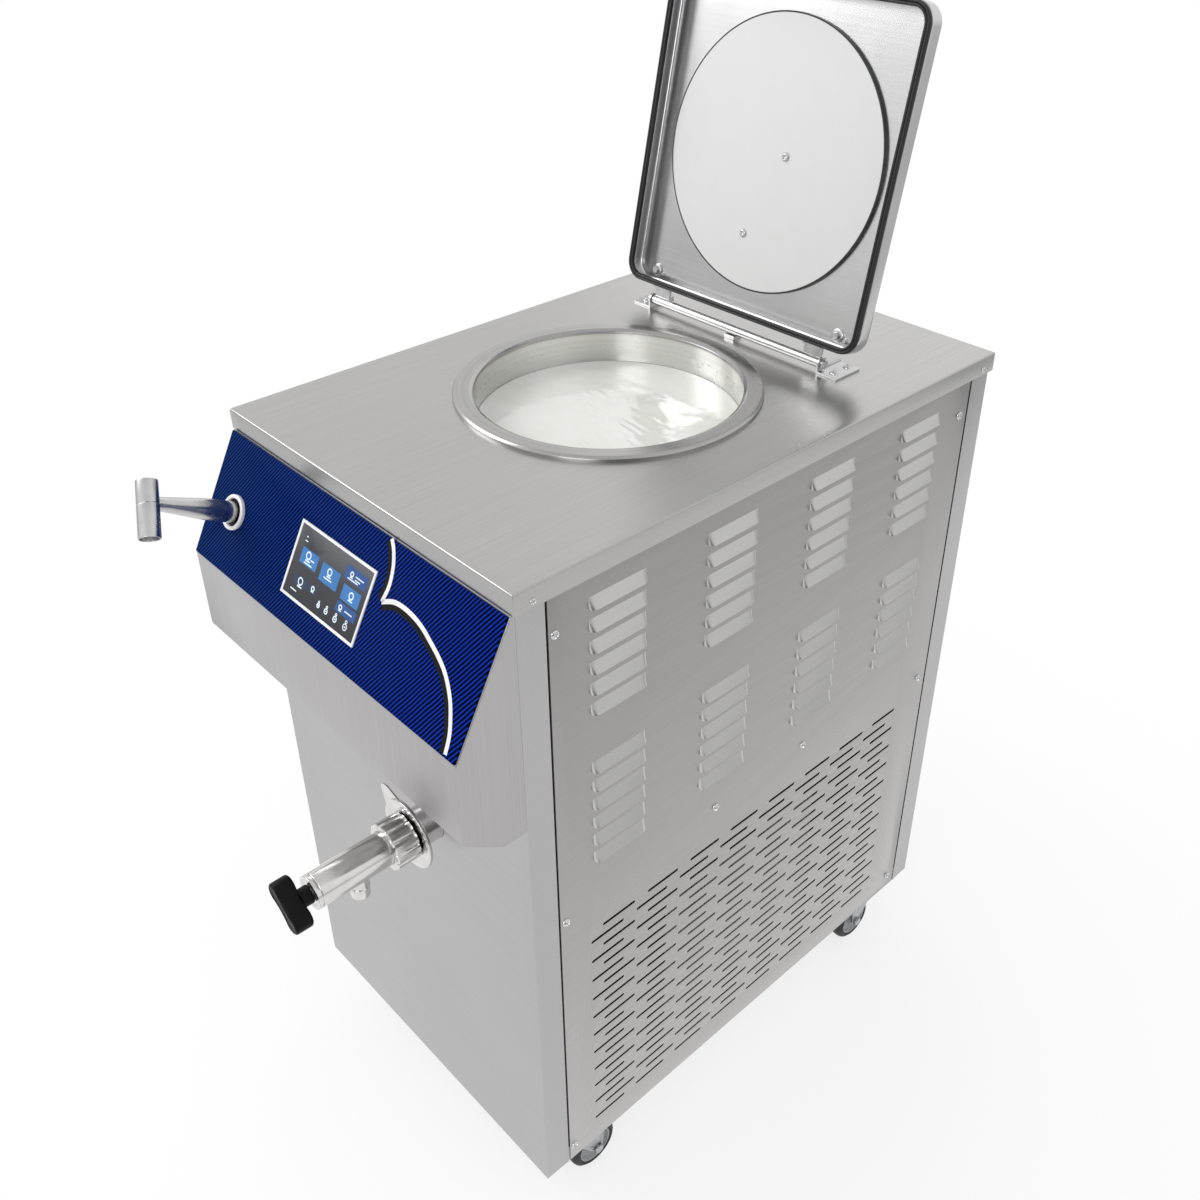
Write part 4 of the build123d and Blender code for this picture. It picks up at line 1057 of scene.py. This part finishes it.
flange_reach = 37 * MM
flange_radius = 48 * MM
flange_thickness = 5 * MM
pipe_radius = 25.5 * MM
pipe_bore = 22.5 * MM
nut_radius = 32 * MM
nut_length = 34 * MM
nut_grooves = 12
nut_groove = 2.6 * MM
valve_radius = 22.5 * MM
valve_bore = 18.5 * MM
ear_angle = 135
spout_out = 111 * MM
spout_radius = 12 * MM
spout_bore = 9.5 * MM
valve_line = Vector((valve_axis.x, body_front_y, valve_axis.z))


def make_outlet():
    """The pipe with its flange disc, and the finger ear."""
    bm = bmesh.new()
    start = -(bowl_centre.y - bowl_radius * 0.75 - body_front_y)
    profile = [(start, pipe_bore), (start, pipe_radius), (flange_reach - flange_thickness - 3 * MM, pipe_radius),
               (flange_reach - flange_thickness, pipe_radius + 4 * MM),
               (flange_reach - flange_thickness, flange_radius), (flange_reach, flange_radius),
               (flange_reach, flange_radius - 6 * MM), (flange_reach - MM, flange_radius - 9 * MM),
               (flange_reach - MM, pipe_bore)]
    lathe(bm, valve_line, -Y, eased(profile, 1.2 * MM), 96, wrap=True)
    piece("outlet_turned", bm, "cabinet", valve_steel, ("outlet_pipe",), 40)
    bm = bmesh.new()
    face = valve_line - Y * (flange_reach - 2.2 * MM)
    outline = []
    for turn, reach in ((-34, -3), (-24, 1), (-15, 8), (-8, 17), (-2, 21.5), (4, 22), (9, 17), (16, 8), (25, 1),
                        (34, -3)):
        angle = math.radians(ear_angle + turn)
        radius = flange_radius + reach * MM
        outline.append(face + radius * (math.cos(angle) * X + math.sin(angle) * Z))
    skin(bm, [outline, [point + Y * 2 * MM for point in outline]], first=True, last=True)
    piece("outlet_ear", bm, "cabinet", valve_steel)


def make_nut():
    """The union nut with rounded grooves along it."""
    start, end = flange_reach, flange_reach + nut_length
    steps = nut_grooves * 12
    across = (-Y).orthogonal().normalized()
    rows = []
    for along, share, groove in ((start, 0.90, 0.6), (start + 1.5 * MM, 1.0, 1.0), (end - 1.5 * MM, 1.0, 1.0),
                                 (end, 0.93, 0.6)):
        row = []
        for index in range(steps):
            turn = 2 * math.pi * index / steps
            wave = 0.5 + 0.5 * math.cos(nut_grooves * turn)
            radius = nut_radius * share - groove * nut_groove * (1 - wave ** 0.25)
            row.append(valve_line - Y * along + radius * (math.cos(turn) * X + math.sin(turn) * Z))
        rows.append(row)
    bm = bmesh.new()
    bore = [valve_line - Y * along + (valve_radius + 0.3 * MM) * (point - centre).normalized()
            for along, row in ((end, rows[-1]),) for centre in (valve_line - Y * end,) for point in row]
    back = [point + Y * nut_length for point in bore]
    skin(bm, rows + [bore, back], wrap=True)
    piece("union_nut_grooved", bm, "cabinet", valve_steel, ("union_nut",), 40)


def make_valve():
    """The valve barrel with its end ring, and the spout with its lip."""
    low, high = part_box("valve_body")
    start, end = flange_reach, body_front_y - low.y
    outside = eased([(start, valve_bore), (start, valve_radius), (end - 7 * MM, valve_radius),
                     (end - 6.4 * MM, valve_radius - 0.6 * MM), (end - 5.8 * MM, valve_radius),
                     (end, valve_radius), (end, valve_radius - 5 * MM), (end - 1.2 * MM, valve_radius - 6 * MM),
                     (end - 1.2 * MM, 6.1 * MM)], 0.5 * MM)
    inside = [(end - 6 * MM, 6.1 * MM), (end - 6 * MM, valve_bore)]
    bm = bmesh.new()
    lathe(bm, valve_line, -Y, outside + inside, 96, wrap=True)
    spout = Vector((valve_axis.x, body_front_y - spout_out, valve_axis.z))
    depth = valve_axis.z - low.z
    root, collar = valve_radius - 3 * MM, spout_radius + MM
    profile = eased([(root, spout_radius), (root + 12 * MM, spout_radius), (root + 13 * MM, collar),
                     (root + 16 * MM, collar), (root + 17 * MM, spout_radius), (depth, spout_radius),
                     (depth, spout_bore), (root, spout_bore)], 0.6 * MM)
    lathe(bm, spout, -Z, profile, 48, wrap=True)
    piece("valve_turned", bm, "cabinet", valve_steel, ("valve_body",), 40)


knob_span = 68 * MM
knob_lean = 40
knob_lobe = 12 * MM
knob_waist = 10 * MM
knob_hub = 12 * MM


def knob_ring(centre, inset):
    """The two-lobed outline, drawn in by inset."""
    points = []
    lobe_at = knob_span / 2 - knob_lobe
    steps = 64
    lean = math.radians(knob_lean)
    for index in range(steps):
        turn = 2 * math.pi * index / steps
        c, s = math.cos(turn), math.sin(turn)
        lobe = lobe_at * abs(c) + math.sqrt(max(0.0, knob_lobe ** 2 - (lobe_at * s) ** 2)) \
            if abs(s) * lobe_at < knob_lobe else 0.0
        waist = knob_waist / max(abs(s), 0.02)
        radius = max(lobe, min(waist, lobe_at)) - inset
        u, v = radius * c, radius * s
        points.append(centre + (u * math.cos(lean) - v * math.sin(lean)) * X
                      - (u * math.sin(lean) + v * math.cos(lean)) * Z)
    return points


def make_knob():
    """The black two-lobed grip with rounded edges, on its hub."""
    low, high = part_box("valve_knob")
    start, end = high.y, low.y
    hub_end = start - 12.7 * MM
    middle = Vector((valve_axis.x, 0, valve_axis.z))
    bm = bmesh.new()
    rounding = 3.5 * MM
    rings = []
    for index in range(5):
        angle = math.pi / 2 * index / 4
        rings.append(knob_ring(middle + Y * (hub_end - rounding + rounding * math.cos(angle)),
                               rounding - rounding * math.sin(angle)))
    for index in range(1, 5):
        angle = math.pi / 2 * index / 4
        rings.append(knob_ring(middle + Y * (end + rounding - rounding * math.sin(angle)),
                               rounding - rounding * math.cos(angle)))
    rings.append(knob_ring(middle + Y * (end + 0.8 * MM), rounding + 3 * MM))
    skin(bm, rings, first=True, last=True)
    lathe(bm, middle + Y * start, -Y, eased([(0, 6 * MM), (0, knob_hub), (start - hub_end + MM, knob_hub)], 0.8 * MM), 48)
    piece("knob_grip", bm, "knob", black_plastic, ("valve_knob",), 50)


# Spray handle

collar_radius = 22.3 * MM
guide_lip_radius = 17 * MM
handle_root_radius = 13.5 * MM
handle_neck_radius = 8.8 * MM
handle_straight = 40 * MM
spray_reach = 118 * MM
spray_head_radius = 13.2 * MM
spray_turn = math.radians(37)
spray_up = 27 * MM
spray_down_length = 44 * MM


def make_collar():
    """The white collar with its stepped mouth."""
    base = spray_base
    profile = eased([(-60 * MM, 14.05 * MM), (-60 * MM, 19 * MM), (fascia_lift, 19 * MM),
                     (fascia_lift, collar_radius), (fascia_lift + 5 * MM, collar_radius),
                     (fascia_lift + 5 * MM, 17.5 * MM), (fascia_lift - 2 * MM, 17.5 * MM),
                     (fascia_lift - 2 * MM, 14.05 * MM)], 1.1 * MM)
    bm = bmesh.new()
    lathe(bm, base, spray_normal, profile, 80, wrap=True)
    piece("spray_collar_turned", bm, "cabinet", white_plastic, ("spray_collar",), 40)


def make_spray():
    """The tapered grip and the crosswise barrel with its open lower end."""
    low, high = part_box("spray_handle")
    seat = 4.1 * MM
    profile = eased([(seat, 10 * MM), (seat, handle_root_radius - 1.5 * MM), (seat + 3 * MM, handle_root_radius),
                     (seat + handle_straight, handle_root_radius),
                     (spray_reach - spray_head_radius * 1.4, handle_neck_radius),
                     (spray_reach - spray_head_radius * 0.6, handle_neck_radius)], 9 * MM, 5)
    bm = bmesh.new()
    lathe(bm, spray_base, spray_normal, profile, 64)
    lathe(bm, spray_base, spray_normal, [(seat - 58 * MM, 10 * MM), (seat + MM, 10 * MM)], 48)
    piece("spray_grip", bm, "spray", satin_steel, ("spray_handle",), 40)
    down = slope_down * math.cos(spray_turn) + X * math.sin(spray_turn)
    centre = spray_base + spray_normal * spray_reach
    r = spray_head_radius
    profile = eased([(-spray_up, 0), (-spray_up, r), (2 * MM, r), (2.6 * MM, r - 0.5 * MM), (3.2 * MM, r),
                     (spray_down_length, r), (spray_down_length, r - 1.6 * MM),
                     (spray_down_length - 14 * MM, r - 1.8 * MM), (spray_down_length - 14 * MM, 0)], 1.2 * MM)
    bm = bmesh.new()
    lathe(bm, centre, down, profile, 64)
    piece("spray_barrel", bm, "spray", satin_steel, ("spray_head",), 40)
    # Painted shade: a black disc at the bottom of the barrel's bore makes its open end dark.
    bm = bmesh.new()
    lathe(bm, centre + down * (spray_down_length - 13.8 * MM), down, [(0, 0), (0, r - 2 * MM), (0.5 * MM, 0)], 32)
    piece("spray_bore_painted_shade", bm, "spray", black_plastic)


# Casters

def make_wheels():
    for corner in ("front_left", "front_right", "rear_left", "rear_right"):
        tyre, rim = f"caster_tyre_{corner}", f"caster_rim_{corner}"
        low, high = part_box(tyre)
        centre = (low + high) / 2
        half, radius = (high.x - low.x) / 2, (high.z - low.z) / 2
        inner = (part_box(rim)[1].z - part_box(rim)[0].z) / 2
        bm = bmesh.new()
        tread = [(-half + 2 * MM, inner), (-half, inner + 2 * MM), (-half, radius - 7 * MM),
                 (-half + 4 * MM, radius - 1.5 * MM), (-half + 9 * MM, radius), (half - 9 * MM, radius),
                 (half - 4 * MM, radius - 1.5 * MM), (half, radius - 7 * MM), (half, inner + 2 * MM),
                 (half - 2 * MM, inner)]
        lathe(bm, centre, X, eased(tread, 3 * MM), 72, wrap=True)
        piece(f"tyre_{corner}", bm, body_of(tyre), tyre_rubber, (tyre,), 50)
        bm = bmesh.new()
        face = [(-half, 4.1 * MM), (-half, 11 * MM), (-half + 5 * MM, 13 * MM), (-half + 5 * MM, inner - 5 * MM),
                (-half + 1 * MM, inner - 3 * MM), (-half + 1 * MM, inner - 0.1 * MM)]
        mirror = [(-along, out) for along, out in reversed(face)]
        lathe(bm, centre, X, eased(face + mirror, MM), 64, wrap=True)
        piece(f"rim_{corner}", bm, body_of(rim), rim_plastic, (rim,), 50)
        softened(f"caster_fork_{corner}", zinc, rim=0.35 * MM)


cover_fold = 2.2 * MM
cover_corner = 1.2 * MM


def make_cover():
    """The folded cover: skirt, rounded folds and the flat top round the bowl's hole."""
    middle = (cover_low + cover_high) / 2
    half_x, half_y = (cover_high.x - cover_low.x) / 2, (cover_high.y - cover_low.y) / 2
    corners = rounded_rectangle(half_x, half_y, cover_corner, 3)
    outline = []
    for one, two in zip(corners, corners[1:] + corners[:1]):
        parts = 24 if math.dist(one, two) > 50 * MM else 1
        for index in range(parts):
            t = index / parts
            outline.append((one[0] + (two[0] - one[0]) * t, one[1] + (two[1] - one[1]) * t))

    def frame_ring(inset, z):
        """The cover's outline drawn in."""
        return [Vector((middle.x + x * (half_x - inset) / half_x, middle.y + y * (half_y - inset) / half_y, z))
                for x, y in outline]

    def hole_ring(z):
        """The hole's edge, point for point with the outline."""
        points = []
        for x, y in outline:
            out = Vector((middle.x + x, middle.y + y - bowl_centre.y)).normalized() * (bowl_radius + 2.3 * MM)
            points.append(Vector((out.x, bowl_centre.y + out.y, z)))
        return points

    under = top_z - sheet
    outside = eased([(0, cover_low.z), (0, top_z), (12 * MM, top_z)], cover_fold, 4)
    rings = [frame_ring(inset, z) for inset, z in outside] + [hole_ring(top_z), hole_ring(under)]
    rings += [frame_ring(sheet, under), frame_ring(sheet, cover_low.z)]
    bm = bmesh.new()
    skin(bm, rings, wrap=True)
    piece("cover_folded", bm, "cabinet", cover_steel, ("top_cover",), 30)


def make_sheet_metal():
    make_cover()
    softened("front_panel", front_steel, fold=2.0 * MM, rim=0)
    softened("rear_panel", front_steel, fold=2.0 * MM, rim=0)
    softened("control_head", head_steel, fold=1.4 * MM, rim=0)
    softened("screen_bezel", white_plastic, rim=0.5 * MM)
    softened("hinge_brackets", fitting_steel, rim=0.4 * MM)
    softened("lid_hinge_leaf", fitting_steel, rim=0.4 * MM)
    softened("hinge_rod", fitting_steel, rim=0.5 * MM)
    softened("control_fascia", blue_hatch, rim=0.3 * MM)


def dress_nodes():
    """Materials of the nodes whose shape is already right."""
    plain = {"floor_tray": zinc, "cross_rails": zinc, "caster_plates": zinc, "bowl": bowl_steel,
             "bowl_jacket": insulation, "spray_guide": black_plastic, "valve_plunger": liner_plastic,
             "valve_spindle": valve_steel, "gear_motor": motor_paint, "stirrer_shaft": valve_steel,
             "stirrer": side_steel, "compressor": black_paint, "condenser": fins, "fan_motor": black_paint,
             "fan_blades": black_plastic, "cable_gland": black_plastic, "water_inlet": brass,
             "electrical_box": motor_paint}
    for corner in ("front_left", "front_right", "rear_left", "rear_right"):
        plain[f"post_{corner}"] = zinc
    for name, made in plain.items():
        dressed(name, made)


make_camera()
make_lights()
make_world()
make_floor()
bpy.context.scene.view_settings.view_transform = "Standard"
make_sheet_metal()
side_panel("side_panel_right", 1, 2, True)
side_panel("side_panel_left", -1, 4, False)
make_screws()
make_ring()
make_milk()
make_bowl_marks()
make_lid()
make_gasket()
make_liner()
make_lid_fixings()
make_stripe()
make_screen()
make_outlet()
make_nut()
make_valve()
make_knob()
make_collar()
make_spray()
make_wheels()
dress_nodes()
